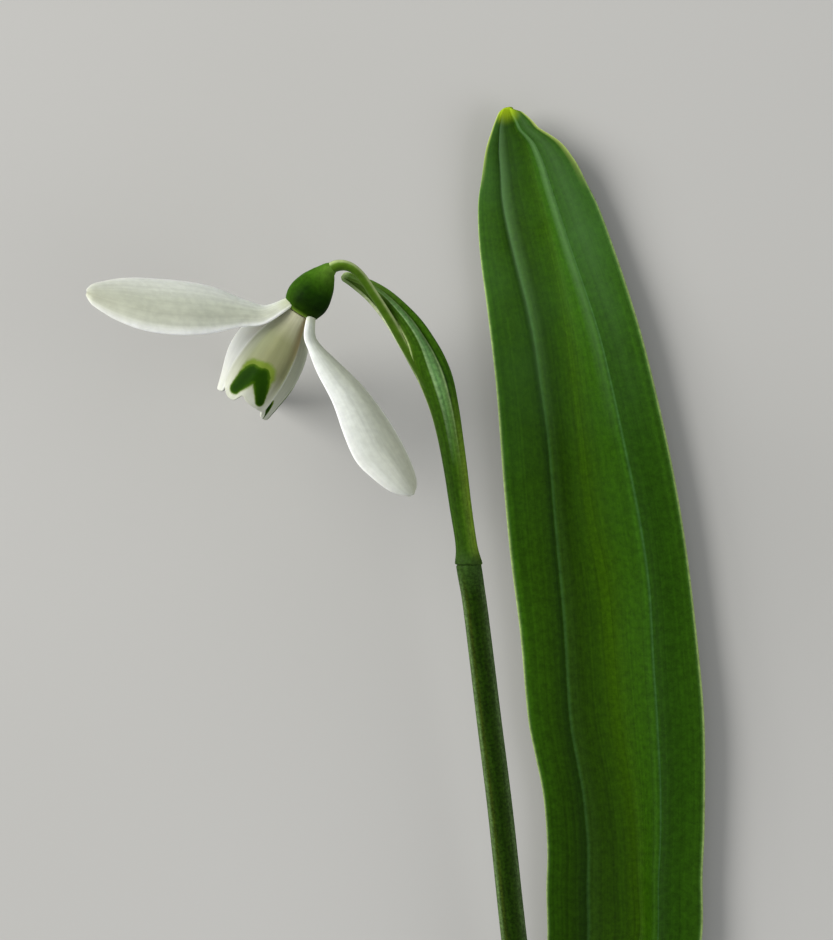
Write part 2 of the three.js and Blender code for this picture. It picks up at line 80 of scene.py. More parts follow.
def place(point):
    """A point of the plant, in millimetres, as a place in the scene."""
    return Vector(point) * MM + PLANT_SHIFT


print("the plant's own origin is at", [round(v / MM, 2) for v in PLANT_SHIFT], "mm")

# %% [markdown]
# ## Smooth values between stations
#
# Leaves and petals change width, height and direction slowly along their length. Such a shape could be drawn
# point by point, but a few stations with a smooth curve through them are easier to read and to correct. The
# curve is a cubic one whose slope at each station comes from its two neighbours.

# %% Stations and routes
def clamp(value, low=0.0, high=1.0):
    return max(low, min(high, value))


def mix(a, b, share):
    return a + (b - a) * share


def ease(value, start, end):
    """0 before start, 1 after end, and a soft step between them."""
    t = clamp((value - start) / (end - start))
    return t * t * (3 - 2 * t)


def bump_at(value, centre, half_width):
    """1 at the centre, falling softly to 0 about two half widths away."""
    return math.exp(-((value - centre) / half_width) ** 2)


def stations(rows):
    """Values that run smoothly through stations. Each row is (position, value, value, ...)."""
    last = len(rows) - 1

    def values_at(position):
        here = max(0, sum(row[0] <= position for row in rows[:last]) - 1)
        start, end = rows[here], rows[here + 1]
        before, after = rows[max(here - 1, 0)], rows[min(here + 2, last)]
        span = end[0] - start[0]
        t = clamp((position - start[0]) / span)
        values = []
        for k in range(1, len(start)):
            slope_in = (end[k] - before[k]) / (end[0] - before[0])
            slope_out = (after[k] - start[k]) / (after[0] - start[0])
            values.append(
                start[k] * (2 * t ** 3 - 3 * t ** 2 + 1) + slope_in * span * (t ** 3 - 2 * t ** 2 + t)
                + end[k] * (3 * t ** 2 - 2 * t ** 3) + slope_out * span * (t ** 3 - t ** 2)
            )
        return values

    return values_at


def equal_steps(rows):
    """Stations at equal distances from 0 to 1."""
    return stations([(k / (len(rows) - 1), *row) for k, row in enumerate(rows)])


def route(points):
    """A smooth route through points: a function from a share of its length to a place."""
    marks = [0]
    for here, there in zip(points, points[1:]):
        marks.append(marks[-1] + (Vector(there) - Vector(here)).length)
    at = stations([(mark / marks[-1], *point) for mark, point in zip(marks, points)])
    return lambda share: Vector(at(share))


def heading(path, share, step=0.004):
    """The direction in which a route runs at a share of its length."""
    return (path(min(share + step, 1)) - path(max(share - step, 0))).normalized()


print("half way between 0 and 1 is", round(stations([(0, 0), (1, 1)])(0.5)[0], 3))

# %% [markdown]
# ## Growing a blade from a grid
#
# A leaf, a petal and a bract are all the same thing to a modeller: a thin sheet, curved in space, with a
# rounded rim. A flat grid is made first, each of its points is carried to its place on the curved sheet, and
# the sheet is then extruded to its thickness, half to each side along its own normals. A subdivision surface
# rounds the rim at the end. Solidify would give the thickness too, but extruding lets the blade be thick at
# the midrib and thin at the margins.
#
# Each point also keeps where it lies on the blade, in an attribute called lie: x across from -1 to 1, y along
# from 0 at the foot to 1 at the tip, z 1 on the face that points up or out and -1 on the other. Veins and
# colours follow the blade that way, however it bends.

# %% Blades
def blade(rows, columns, point, thickness, crowd=lambda u: u, spread=lambda v: v, marks=None):
    """A closed blade around the sheet point(u, v), in millimetres. thickness(u, v) is in millimetres."""
    mesh = bmesh.new()
    bmesh.ops.create_grid(mesh, x_segments=columns, y_segments=rows, size=1)
    lie = mesh.verts.layers.float_vector.new("lie")
    mark = mesh.verts.layers.float_vector.new("mark") if marks else None
    for vert in mesh.verts:
        u, v = crowd((vert.co.y + 1) / 2), spread(vert.co.x)
        vert[lie] = (v, u, 1)
        if marks:
            vert[mark] = marks(u, v)
        vert.co = place(point(u, v))
    return thickened(mesh, thickness)


def thickened(mesh, thickness, sided=True):
    """Extrudes an open sheet to a closed wall, half of its thickness to each side along its normals.
    Nothing of it reaches into the table."""
    lie = mesh.verts.layers.float_vector["lie"]
    outward = mesh.verts.layers.float_vector.new("outward")
    mesh.normal_update()
    for vert in mesh.verts:
        vert[outward] = vert.normal
    grown = bmesh.ops.extrude_face_region(mesh, geom=mesh.faces[:])
    lower = {part for part in grown["geom"] if isinstance(part, bmesh.types.BMVert)}
    for vert in mesh.verts:
        side = -1 if vert in lower else 1
        v, u, _ = vert[lie]
        if sided:
            vert[lie] = (v, u, side)
        vert.co += vert[outward] * side * thickness(u, v) * MM / 2
        vert.co.z = max(vert.co.z, 0)
    mesh.verts.layers.float_vector.remove(outward)
    return mesh


def even(amount):
    """A thickness that is the same all over."""
    return lambda u, v: amount


def tipwards(power):
    """Crowds the rows of a blade towards its tip."""
    return lambda u: 1 - (1 - u) ** power


# %% [markdown]
# ## Drawing a stem along a route
#
# A scape, a pedicel or an ovary is a round body along a curve. A curve object with a bevel would do, but its
# ends and its changing girth are harder to steer. Here an upright cylinder is cut into rings, and each ring
# is carried to its place on the route and given its own radii. Its attribute lie holds the sine and cosine
# of the angle round the stem in x and z, so that a pattern has no seam.

# %% Stems
def tube(sides, rings, cap_ends):
    """An upright tube of radius 1 and height 1 about the origin, cut into rings."""
    mesh = bmesh.new()
    bmesh.ops.create_cone(mesh, cap_ends=cap_ends, segments=sides, radius1=1, radius2=1, depth=1)
    uprights = [edge for edge in mesh.edges if abs(edge.verts[0].co.z - edge.verts[1].co.z) > 0.5]
    bmesh.ops.subdivide_edges(mesh, edges=uprights, cuts=rings - 1, use_grid_fill=True)
    return mesh


def stem(path, rings, sides, radii, cap_inset=0.25, cap_material=0):
    """A closed round body along a route. radii(u) gives [across, up] in millimetres."""
    mesh = tube(sides, rings, cap_ends=True)
    ends = [face for face in mesh.faces if len(face.verts) == sides]
    bmesh.ops.inset_individual(mesh, faces=ends, thickness=cap_inset, use_even_offset=True)
    for face in ends:
        face.material_index = cap_material
    lie = mesh.verts.layers.float_vector.new("lie")
    for vert in mesh.verts:
        x, y, u = vert.co.x, vert.co.y, vert.co.z + 0.5
        ahead = heading(path, u)
        across = ahead.cross(Vector((0, 0, 1))).normalized()
        up = across.cross(ahead)
        across_radius, up_radius = radii(u)
        vert[lie] = (x, u, y)
        vert.co = place(path(u) + across * x * across_radius + up * y * up_radius)
    return mesh


# %% [markdown]
# ## Turning a round body
#
# The anthers and the style are round about an axis, as if turned on a lathe. Half of the outline is drawn
# once, and a full spin sweeps it round. The points on the axis are merged into one at each pole. A spin can
# turn a shape inside out, so the normals are made to point outwards when the piece is finished.

# %% Turned bodies
def turned(outline, sides, where):
    """A closed body turned from an outline of (radius, height) in millimetres about the local Y axis."""
    mesh = bmesh.new()
    lie = mesh.verts.layers.float_vector.new("lie")
    top = outline[-1][1]
    verts = [mesh.verts.new((radius, height, 0)) for radius, height in outline]
    edges = [mesh.edges.new(pair) for pair in zip(verts, verts[1:])]
    bmesh.ops.spin(mesh, geom=verts + edges, cent=(0, 0, 0), axis=(0, 1, 0), angle=2 * math.pi,
                   steps=sides, use_merge=True)
    bmesh.ops.remove_doubles(mesh, verts=mesh.verts, dist=0.001)
    for vert in mesh.verts:
        girth = max(math.hypot(vert.co.x, vert.co.z), 0.001)
        vert[lie] = (vert.co.x / girth, vert.co.y / top, vert.co.z / girth)
    bmesh.ops.scale(mesh, vec=(MM, MM, MM), verts=mesh.verts)
    bmesh.ops.transform(mesh, matrix=where, verts=mesh.verts)
    return mesh


# %% [markdown]
# ## Finishing a piece
#
# Every piece ends the same way: normals outward, smooth shading, its material, one level of subdivision to
# round its rims, and its ties to the frame. It rides on the only body, and it stands for one plain solid.

# %% Finishing
ROUNDING_LEVEL = 1


def shown(name, data):
    """A new object in the scene."""
    thing = bpy.data.objects.new(name, data)
    scene.collection.objects.link(thing)
    return thing


def as_mesh(mesh, name):
    """Writes a working mesh to a lasting one and lets go of it."""
    data = bpy.data.meshes.new(name)
    mesh.to_mesh(data)
    mesh.free()
    return data


def finish(mesh, node, slot, *materials):
    """Makes the finished piece that stands for a solid."""
    bmesh.ops.recalc_face_normals(mesh, faces=mesh.faces)
    data = as_mesh(mesh, "skin_of_" + node)
    data.polygons.foreach_set("use_smooth", [True] * len(data.polygons))
    for material in materials:
        data.materials.append(material)
    piece = shown(data.name, data)
    surface = piece.modifiers.new("rounded rims", "SUBSURF")
    surface.levels = surface.render_levels = ROUNDING_LEVEL
    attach(piece, "root")
    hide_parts(node)
    print(f"{piece.name}: {len(data.polygons)} faces before rounding")


# %% [markdown]
# ## Colours and recipes
#
# Colours are written as the sRGB hex codes of a paint chart, and one function turns them into the linear
# values that the shader works in. Each material is a recipe. One small function adds a node with its
# settings and its links, and a few more say what almost every recipe does: spread a value over a span, draw a
# ramp or a noise, and lay one colour over another.

# %% Colours and recipes
def colour(code):
    """The linear colour of an sRGB hex code."""
    shares = [int(code[i:i + 2], 16) / 255 for i in (1, 3, 5)]
    return [s / 12.92 if s <= 0.04045 else ((s + 0.055) / 1.055) ** 2.4 for s in shares] + [1]


class Recipe:
    """A material in the making. lie, across, along and side tell where a point lies on its own piece, and
    spot where it is in the scene."""

    def __init__(self, name):
        self.material = bpy.data.materials.new(name)
        self.material.use_nodes = True
        self.tree = self.material.node_tree
        self.tree.nodes.clear()
        self.lie = self.add("Attribute", attribute_name="lie").node.outputs["Vector"]
        self.across, self.along, self.side = self.add("SeparateXYZ", {0: self.lie}).node.outputs
        self.spot = self.add("TexCoord").node.outputs["Object"]

    def add(self, kind, sockets=None, **settings):
        """Adds a node and returns its first output in use. sockets maps an input to a value or an output."""
        node = self.tree.nodes.new("ShaderNode" + kind)
        for name, value in settings.items():
            setattr(node, name, value)
        for socket, value in (sockets or {}).items():
            if isinstance(value, bpy.types.NodeSocket):
                self.tree.links.new(value, node.inputs[socket])
            else:
                node.inputs[socket].default_value = value
        return next((output for output in node.outputs if output.enabled), None)

    def span(self, value, start, end, low=0, high=1, **settings):
        """Runs from low to high while value runs from start to end."""
        return self.add("MapRange", {0: value, 1: start, 2: end, 3: low, 4: high}, **settings)

    def maths(self, operation, *values):
        return self.add("Math", dict(enumerate(values)), operation=operation)

    def vectors(self, operation, *values):
        return self.add("VectorMath", dict(enumerate(values)), operation=operation)

    def times(self, a, b):
        return self.maths("MULTIPLY", a, b)

    def ramp(self, value, stops):
        """A smooth run of colours. Each stop is (position, hex code)."""
        output = self.add("ValToRGB", {0: value})
        elements = output.node.color_ramp.elements
        for element, (position, code) in zip(elements, (stops[0], stops[-1])):
            element.position, element.color = position, colour(code)
        for position, code in stops[1:-1]:
            elements.new(position).color = colour(code)
        return output

    def noise(self, where, scale, detail, roughness=0.5):
        sockets = {"Vector": where, "Scale": scale, "Detail": detail, "Roughness": roughness}
        return self.add("TexNoise", sockets)

    def streaks(self, factors, detail, roughness=0.5):
        """A noise stretched over the piece. The larger a factor, the finer it is across, along, through."""
        return self.noise(self.vectors("MULTIPLY", self.lie, factors), 1, detail, roughness)

    def tint(self, base, share, over):
        """Lays over, a hex code or an output, on a base colour by a share."""
        over = colour(over) if isinstance(over, str) else over
        return self.add("Mix", {0: share, 6: base, 7: over}, data_type="RGBA")

    def coat(self, base, value, start, end, most, over, **settings):
        """Lays over on a base colour: not at all where value is start, and by most where it is end."""
        return self.tint(base, self.span(value, start, end, 0, most, **settings), over)

    def shaded(self, base, shade):
        """Darkens or lightens a colour by a shade about 1."""
        return self.add("Mix", {0: 1, 6: base, 7: shade}, data_type="RGBA", blend_type="MULTIPLY")

    def finished(self, base, roughness, ior=1.5, gloss=0.5, relief=None, glow=None):
        """Ends the recipe with one shader. relief is (height, strength, depth in millimetres), and glow is
        (share, depth in millimetres, reach of red, green and blue)."""
        sockets = {"Base Color": base, "Roughness": roughness, "IOR": ior, "Specular IOR Level": gloss}
        if relief:
            height, strength, depth = relief
            bumps = {"Height": height, "Strength": strength, "Distance": depth * MM}
            sockets["Normal"] = self.add("Bump", bumps)
        if glow:
            share, depth, reach = glow
            sockets.update({"Subsurface Weight": share, "Subsurface Scale": depth * MM,
                            "Subsurface Radius": reach})
        self.add("OutputMaterial", {"Surface": self.add("BsdfPrincipled", sockets)})
        print(f"{self.material.name}: {len(self.tree.nodes)} nodes")
        return self.material


# %% [markdown]
# ## Leaf skin
#
# A living leaf is green flesh under a waxy cuticle. From a step away it is not one green: the veins run
# lengthwise as fine light and dark lines, the midrib is yellower, the margin is a thin pale line and the very
# tip is yellow-green. Beside each furrow the colour also holds painted light: a pale painted highlight on its
# inner side and a dark line of painted shade in the furrow. The cuticle gives a soft, broad gloss and,
# towards the tip, bluish-green clouds, and there a bluish painted sheen runs along the furrows. The blade is
# painted darker towards its base and lighter towards its tip as well, a painted fall of light.
#
# A ramp across the blade holds the bands with the painted highlight and shade, and a second one the painted
# sheen along the furrows. The fine veins are a noise that is stretched along the blade.

# %% Leaf skin
LEAF_TIP_SPOT = (8.85, 36, 3.4)
LEAF_VEINS_ACROSS = 26      # light and dark vein lines over half the width, about 0.3 mm each

skin = Recipe("living leaf under a waxy cuticle")
across_share = skin.span(skin.across, -1, 1)
# the stops near 0.24 and 0.75 paint a pale highlight beside each furrow and a dark line of shade in it
green = skin.ramp(across_share, [
    (0, "#a9bf7c"), (0.006, "#93ad66"), (0.014, "#3c6420"), (0.024, "#2b5006"), (0.12, "#2a4c05"),
    (0.205, "#284905"), (0.236, "#1f3d05"), (0.247, "#234106"), (0.256, "#365a26"), (0.272, "#315210"),
    (0.33, "#305304"), (0.42, "#345a04"), (0.48, "#385d05"), (0.52, "#385d05"), (0.56, "#345a04"),
    (0.62, "#305804"), (0.7, "#2f5806"), (0.736, "#345f12"), (0.747, "#3e6832"), (0.757, "#294e0e"),
    (0.79, "#254808"), (0.9, "#284d06"), (0.974, "#2e540a"), (0.984, "#3f6824"), (0.992, "#8ea860"),
    (1, "#a4ba78"),
])
veins = skin.span(skin.streaks((LEAF_VEINS_ACROSS, 2.2, 1), 4, 0.6), 0.32, 0.68, 0.8, 1.2)
mottle = skin.span(skin.noise(skin.spot, 1700, 5, 0.75), 0.36, 0.64, 0.77, 1.23)
# darker towards the base and lighter towards the tip: a painted fall of light
painted_falloff = skin.span(skin.along, 0.3, 0.92, 0.8, 1.14)
shade = skin.times(skin.times(veins, mottle), painted_falloff)
green = skin.shaded(green, shade)
clouds = skin.span(skin.noise(skin.spot, 110, 3), 0.35, 0.75, 0.1, 1)
green = skin.tint(green, skin.times(skin.span(skin.along, 0.6, 0.98, 0, 0.62), clouds), "#426e33")
# bright stripes beside the furrows, stronger towards the tip: painted sheen
painted_furrow_sheen = skin.ramp(across_share, [
    (0.1, "#606060"), (0.22, "#000000"), (0.25, "#ffffff"), (0.32, "#707070"), (0.42, "#202020"),
    (0.66, "#404040"), (0.72, "#ffffff"), (0.76, "#404040"), (0.86, "#b0b0b0"), (0.95, "#505050"),
])
green = skin.tint(green, skin.times(painted_furrow_sheen, skin.span(skin.along, 0.7, 0.97, 0, 0.5)), "#6d9062")
from_tip = skin.vectors("LENGTH", skin.vectors("SUBTRACT", skin.spot, place(LEAF_TIP_SPOT)))
green = skin.coat(green, from_tip, 1.9 * MM, 0.2 * MM, 1, "#a3bf1e", interpolation_type="SMOOTHSTEP")
margin = skin.span(skin.maths("ABSOLUTE", skin.across), 0.9, 0.99)
green = skin.tint(green, skin.times(margin, skin.span(skin.along, 0.93, 0.992, 0, 0.9)), "#cfe07a")
green = skin.coat(green, skin.side, -0.2, -0.9, 0.5, "#416a28")
leaf_skin = skin.finished(green, 0.5, 1.42, 0.05, relief=(shade, 0.5, 0.05))

# %% [markdown]
# ## Leaf
#
# The leaf is a strap 113 mm long and 17.5 mm wide. Its midrib is a shallow valley, a furrow folds it half way
# out on each side, and the outer strips level off towards the margins. It lies on its flat keel. Below the
# widest part it narrows and rolls into a gutter that the sheath can hold, and its tip is a small round arc.
#
# Each station of leaf_heights holds the height of the keel above the table and how far the blade rises from
# it. The furrows and the midrib wander as they run, so leaf_lines holds where they lie as shares across.

# %% Leaf
LEAF_TIP_Y = 36.15
LEAF_TIP_ARC = 0.45         # how far the corners of the tip lie behind its middle
LEAF_THICKNESS = 0.62
LEAF_ROLL_START, LEAF_ROLL_END = -60, -70
FURROW_AT = 0.53            # share of the half width, before the furrows wander
FURROW_DEPTH, RIDGE_HEIGHT, MIDRIB_DEPTH, WAVE_HEIGHT = 0.2, 0.1, 0.04, 0.22

leaf_left = stations([
    (-77, 9.9), (-71, 9.9), (-68, 9.95), (-66, 10.15), (-63, 10.8), (-58, 11.8), (-53, 12.6), (-47, 13.05),
    (-41.8, 12.95), (-38, 13.05), (-32.5, 12.65), (-28.5, 11.85), (-25, 11.15), (-16.4, 10.35), (-8.5, 9.35),
    (-1, 8.65), (8.2, 7.95), (16, 7.05), (22, 6.3), (26.5, 6.15), (29.3, 6.55), (31.9, 6.95), (33.8, 7.55),
    (35.5, 8.2), (35.95, 8.5), (LEAF_TIP_Y, 8.6),
])
leaf_right = stations([
    (-77, 17.1), (-71, 17.1), (-68, 17.15), (-66, 18), (-63, 21.3), (-58, 24.4), (-53, 26.9), (-47, 28.45),
    (-40.3, 28.55), (-35.7, 28.75), (-25.8, 28.75), (-19.2, 28.25), (-8, 26.95), (1.3, 25.35), (11.7, 22.95),
    (17.2, 21.35), (22, 19.75), (26.3, 18.15), (28.7, 16.95), (30.5, 16.05), (31.8, 15.15), (32.7, 14.35),
    (33.5, 13.15), (34, 12.25), (34.8, 11.55), (35.5, 10.75), (35.95, 10.2), (LEAF_TIP_Y, 10.05),
])
leaf_heights = stations([
    (-77, 0.92, 2.3), (-71, 0.92, 2.3), (-66, 0.92, 2.3), (-63, 0.7, 2.15), (-58, 0.25, 2),
    (-53, 0.05, 2), (-47, 0, 2.1), (-28.5, 0, 2.3), (-16.4, 0, 2.2), (1, 0, 2.3), (16, 0.02, 2.2),
    (22, 0.1, 2), (26.5, 0.35, 1.8), (29.3, 0.7, 1.7), (31.9, 1.2, 1.6), (33.5, 1.7, 1.3),
    (34.8, 2.2, 0.8), (35.6, 2.5, 0.4), (LEAF_TIP_Y, 2.75, 0.1),
])

leaf_lines = stations([     # the left furrow, the midrib and the right furrow
    (-77, 0.24, 0.5, 0.76), (-50, 0.24, 0.54, 0.74), (-46.4, 0.237, 0.58, 0.73),
    (-38.8, 0.237, 0.56, 0.735), (-32.7, 0.225, 0.53, 0.742), (-25.8, 0.217, 0.505, 0.75),
    (-19.2, 0.226, 0.5, 0.757), (-11, 0.245, 0.51, 0.78), (-3.8, 0.257, 0.478, 0.775),
    (3.1, 0.268, 0.485, 0.757), (8.2, 0.263, 0.495, 0.748), (14.4, 0.264, 0.52, 0.735),
    (21, 0.236, 0.54, 0.7), (26, 0.2, 0.53, 0.675), (30.5, 0.16, 0.5, 0.66), (33, 0.13, 0.5, 0.65),
    (LEAF_TIP_Y, 0.1, 0.5, 0.62),
])


def leaf_spread(v):
    """Moves the columns closer together at the midrib, the furrows and the margins."""
    return v - 0.7 * math.sin(4 * math.pi * v) / (4 * math.pi)


def leaf_point(u, v):
    y = mix(CUT_END_Y, LEAF_TIP_Y + 0.05 - LEAF_TIP_ARC * v * v, u)
    (left,), (right,) = leaf_left(y), leaf_right(y)
    keel, rise = leaf_heights(y)
    left_furrow, midrib_line, right_furrow = leaf_lines(y)
    (share,) = stations([
        (-1, 0), (-FURROW_AT, left_furrow), (0, midrib_line), (FURROW_AT, right_furrow), (1, 1),
    ])(v)
    width, out = right - left, abs(v)
    strength = ease(width, 2.5, 9)
    inner_strip = 0.86 * ease(out, 0.02, 0.62)
    outer_strip = 0.14 * ease(out, 0.55, 0.95) - 0.1 * ease(out, 0.9, 1.1)
    furrow = FURROW_DEPTH * bump_at(out, FURROW_AT, 0.07)
    ridge = RIDGE_HEIGHT * bump_at(out, FURROW_AT - 0.11, 0.06)
    midrib = MIDRIB_DEPTH * bump_at(v, 0, 0.12)
    opened = rise * (inner_strip + outer_strip) + (ridge - furrow - midrib) * strength
    rolled = rise * out * out
    height = mix(opened, rolled, ease(-y, -LEAF_ROLL_START, -LEAF_ROLL_END))
    wave = WAVE_HEIGHT * noise.noise(Vector((v * 1.3, y * 0.07, 3.1))) * out * strength
    return Vector((left + share * width, y, keel + height + wave + LEAF_THICKNESS / 2))


def leaf_thickness(u, v):
    return LEAF_THICKNESS * (1 - 0.45 * ease(abs(v), 0.55, 1)) * (1 - 0.3 * ease(u, 0.9, 1))


leaf = blade(170, 56, leaf_point, leaf_thickness, crowd=tipwards(1.25), spread=leaf_spread)
finish(leaf, "leaf", "leaf", leaf_skin)

# %% [markdown]
# ## Scape skin
#
# The scape is the flower's stem: a firm, slightly flattened green rod with the same waxy skin as the leaf. A
# pale stripe of painted rim light runs up each flank, the left one has an olive line beside it, and the face
# between them is dark and finely speckled. The ramp runs across the stem and holds the painted rim light,
# and a fine noise gives the speckles.

# %% Scape skin
skin = Recipe("scape skin with fine speckles")
# the pale stops at either flank, near 0.05 and 0.95, are painted rim light
green = skin.ramp(skin.span(skin.across, -1, 1), [
    (0, "#42582a"), (0.04, "#52693a"), (0.1, "#50663a"), (0.15, "#344a18"), (0.2, "#2d3c0a"),
    (0.3, "#203606"), (0.5, "#182e03"), (0.7, "#213805"), (0.8, "#2c4414"), (0.88, "#465c30"),
    (0.95, "#546a40"), (1, "#42582c"),
])
speckles = skin.noise(skin.spot, 3200, 3, 0.7)
speckle_shade = skin.span(speckles, 0.38, 0.62, 0.66, 1.34)
streak_shade = skin.span(skin.streaks((4, 26, 4), 4), 0.3, 0.7, 0.72, 1.28)
green = skin.shaded(green, skin.times(speckle_shade, streak_shade))
green = skin.coat(green, skin.along, 0.95, 0.99, 0.9, skin.shaded(colour("#304a1a"), speckle_shade))
scape_skin = skin.finished(green, 0.5, 1.42, 0.05, relief=(speckles, 0.3, 0.04))

# %% [markdown]
# ## Cut flesh
#
# Where the scape was cut its pale green flesh shows. It is watery, so it is smoother than the skin, and fine
# strands run through it. Only the end faces of the scape wear it.

# %% Cut flesh
skin = Recipe("watery flesh of a cut stem")
strands = skin.ramp(skin.noise(skin.spot, 3000, 2), [(0.35, "#8fa35c"), (0.65, "#b6c488")])
cut_flesh = skin.finished(strands, 0.3, 1.36)

# %% [markdown]
# ## Scape
#
# The scape runs from the cut end, through the sheath and over the leaf, and rises to the node under the
# spathe, where it swells to a narrow collar and its thinner end reaches up into the spathe's tube. It is a
# stem along a route, a little wider than it is deep.

# %% Scape
SCAPE_RADIUS_CUT, SCAPE_RADIUS_TOP = 1.36, 1.2
SCAPE_FLATTENING = 0.9

scape_path = route([
    (13.4, -77, 3.35), (12.75, -71, 3.75), (11.9, -64, 4.7), (10.95, -56.5, 6), (9.65, -46.2, 7.8),
    (8.27, -33.5, 9.8), (7.17, -24.7, 11.3), (6.27, -17.3, 12.7), (5.72, -13, 13.6), (5.14, -9.4, 14.43),
    (5.06, -8.9, 14.5),
])


def scape_radii(u):
    collar, end_in_spathe = 0.05 * ease(u, 0.95, 0.985), 0.45 * ease(u, 0.9962, 0.998)
    radius = mix(SCAPE_RADIUS_CUT, SCAPE_RADIUS_TOP, u) + collar - end_in_spathe
    return radius, radius * SCAPE_FLATTENING


scape = stem(scape_path, 400, 32, scape_radii, cap_material=1)
finish(scape, "scape", "scape", scape_skin, cut_flesh)

# %% [markdown]
# ## Spathe skin
#
# The spathe is the pair of bracts that sheltered the bud, grown together by a thin membrane. Its keel is a
# firm green rib with a painted bluish highlight along it and a dark line of painted shade in the groove
# beside it, the membrane between is paler, and its free edges are nearly colourless. Round the sheet, from
# the free left edge under the stalk and back over the top to the edge of the front membrane, one ramp gives
# each zone its green, with that painted highlight and shade. The closed tube below has its own ramp. The foot
# takes the dark green of the scape's collar. Towards the tip the green is painted lighter, painted light on
# the inner face of the fold, which lies in shade, and the hooked tip is the palest part.

# %% Spathe skin
skin = Recipe("bract with a green keel and clear margins")
across_share = skin.span(skin.across, -1, 1)
# the stops from 0.655 to 0.8 paint a dark line of shade in the groove and bright highlights along the keel
green = skin.ramp(across_share, [
    (0, "#c3cda4"), (0.012, "#86a05c"), (0.045, "#3e600c"), (0.25, "#36560a"), (0.47, "#34560c"),
    (0.49, "#52702c"), (0.503, "#7f9a66"), (0.518, "#426818"), (0.57, "#365c0a"), (0.63, "#30560a"),
    (0.655, "#1c3c06"), (0.668, "#8ba66c"), (0.684, "#5f834a"), (0.74, "#5c854c"), (0.78, "#7d9c68"),
    (0.8, "#36590f"), (0.9, "#2e4e08"), (0.955, "#3c5c10"), (0.985, "#9db072"), (1, "#c3cda0"),
])
veins = skin.streaks((17, 4, 1), 3, 0.6)
mottle_shade = skin.span(skin.noise(skin.spot, 2400, 4, 0.7), 0.36, 0.64, 0.76, 1.24)
vein_shade = skin.times(skin.span(veins, 0.3, 0.7, 0.76, 1.24), mottle_shade)
wing = skin.times(skin.span(skin.along, 0.6, 0.48), skin.span(across_share, 0.5, 0.42, 0, 0.7))
green = skin.shaded(skin.tint(green, wing, "#5c7e10"), vein_shade)
tube_green = skin.ramp(across_share, [
    (0, "#2c4808"), (0.46, "#38540a"), (0.5, "#728c3e"), (0.53, "#607c20"), (0.61, "#6c8a28"),
    (0.67, "#587820"), (0.71, "#446614"), (0.76, "#31520b"), (0.84, "#2a480a"), (0.92, "#2e4c0e"),
    (1, "#2c4808"),
])
green = skin.coat(green, skin.along, 0.42, 0.22, 1, skin.shaded(tube_green, vein_shade))
foot_green = skin.shaded(colour("#304a1a"), mottle_shade)
green = skin.coat(green, skin.along, 0.075, 0.008, 0.9, foot_green, interpolation_type="SMOOTHSTEP")
# lighter towards the tip: painted light on the shaded inner face of the fold
green = skin.coat(green, skin.along, 0.7, 0.9, 0.68, "#7ba043")
green = skin.coat(green, skin.along, 0.955, 0.99, 0.9, "#b4cc88")
spathe_skin = skin.finished(green, 0.5, 1.42, 0.06, (veins, 0.4, 0.05), (0.1, 0.5, (0.5, 1, 0.3)))

# %% [markdown]
# ## Spathe
#
# Below, the spathe is a closed tube round the stalk. Higher up the tube opens along its left side: the sheet
# passes from the free left edge under the stalk to the fold of the wing, and back over the top, across the
# groove and the keel, to the free edge of the front membrane. At the tip it closes to a small hook. So it is
# one rolled blade, and its section changes from a ring to that folded shape. Two routes carry the left and
# the right side, and a third table gives half the tube's depth.

# %% Spathe
SPATHE_WALL = 0.32
FOLD_AT = 0.42              # where round the section the groove ends and the front membrane starts
FOLD_SHARE = 0.68
RIB_HEIGHT = 0.1
CLOSING_START = 0.965

spathe_left = equal_steps([
    (3.9, -9.34, 14.44), (3.98, -7.4, 14.7), (3.38, -3.6, 15.15), (2.82, 0, 15.5), (2.2, 3.1, 15.8),
    (1.5, 5.7, 16.1), (0.46, 8.35, 16.4), (-0.6, 10.4, 16.95), (-1.55, 12.1, 17.25), (-2.7, 14.05, 17.35),
    (-3.8, 15.6, 17.3), (-4.95, 16.9, 17.15), (-6.05, 17.85, 17.1), (-6.75, 18.4, 17.15),
    (-7.42, 18.82, 17.15),
])
spathe_right = equal_steps([
    (6.4, -9.34, 14.44), (5.84, -7.4, 14.7), (5.27, -3.5, 15.15), (4.87, 0, 15.5), (4.42, 3.4, 15.8),
    (4.03, 6.1, 16.25), (3.44, 9.05, 16.75), (2.6, 11.2, 17.1), (1.62, 12.9, 17.3), (0.34, 14.7, 17.35),
    (-1.33, 16.4, 17.3), (-2.8, 17.6, 17.15), (-4.4, 18.5, 17.1), (-6.1, 19.05, 17.2), (-6.95, 19.42, 17.25),
])
spathe_depth = equal_steps([
    (depth,) for depth in [1.15, 0.97, 0.9, 0.98, 1.05, 1.1, 1.1, 1.05, 1, 0.85, 0.6, 0.42, 0.36, 0.36, 0.5]
])
membrane_edge = stations([
    (0.4, 0.02), (0.5, 0.2), (0.57, 0.26), (0.643, 0.31), (0.714, 0.4), (0.786, 0.5), (1, 0.5),
])

# Round the section: how far from the left side to the right, and how high, as a share of the depth.
ring_section = stations([
    (-1, 0, 0.05), (-0.8, 0.1, -0.62), (-0.5, 0.5, -1), (-0.2, 0.9, -0.6), (0, 1, 0), (0.15, 0.94, 0.48),
    (0.3, 0.79, 0.82), (0.42, 0.62, 0.98), (0.7, 0.25, 0.86), (0.9, 0.05, 0.4), (1, 0, 0.1),
])
folded_section = stations([
    (-1, 0, 0.15), (-0.8, 0.07, -0.55), (-0.5, 0.34, -0.95), (-0.2, 0.85, -0.7), (0, 1, -0.15),
    (0.15, 0.91, 0.12), (0.3, 0.77, 0.02), (0.42, 0.68, 0.7), (0.6, 0.56, 0.9), (0.9, 0.4, 0.75),
    (1, 0.36, 0.6),
])


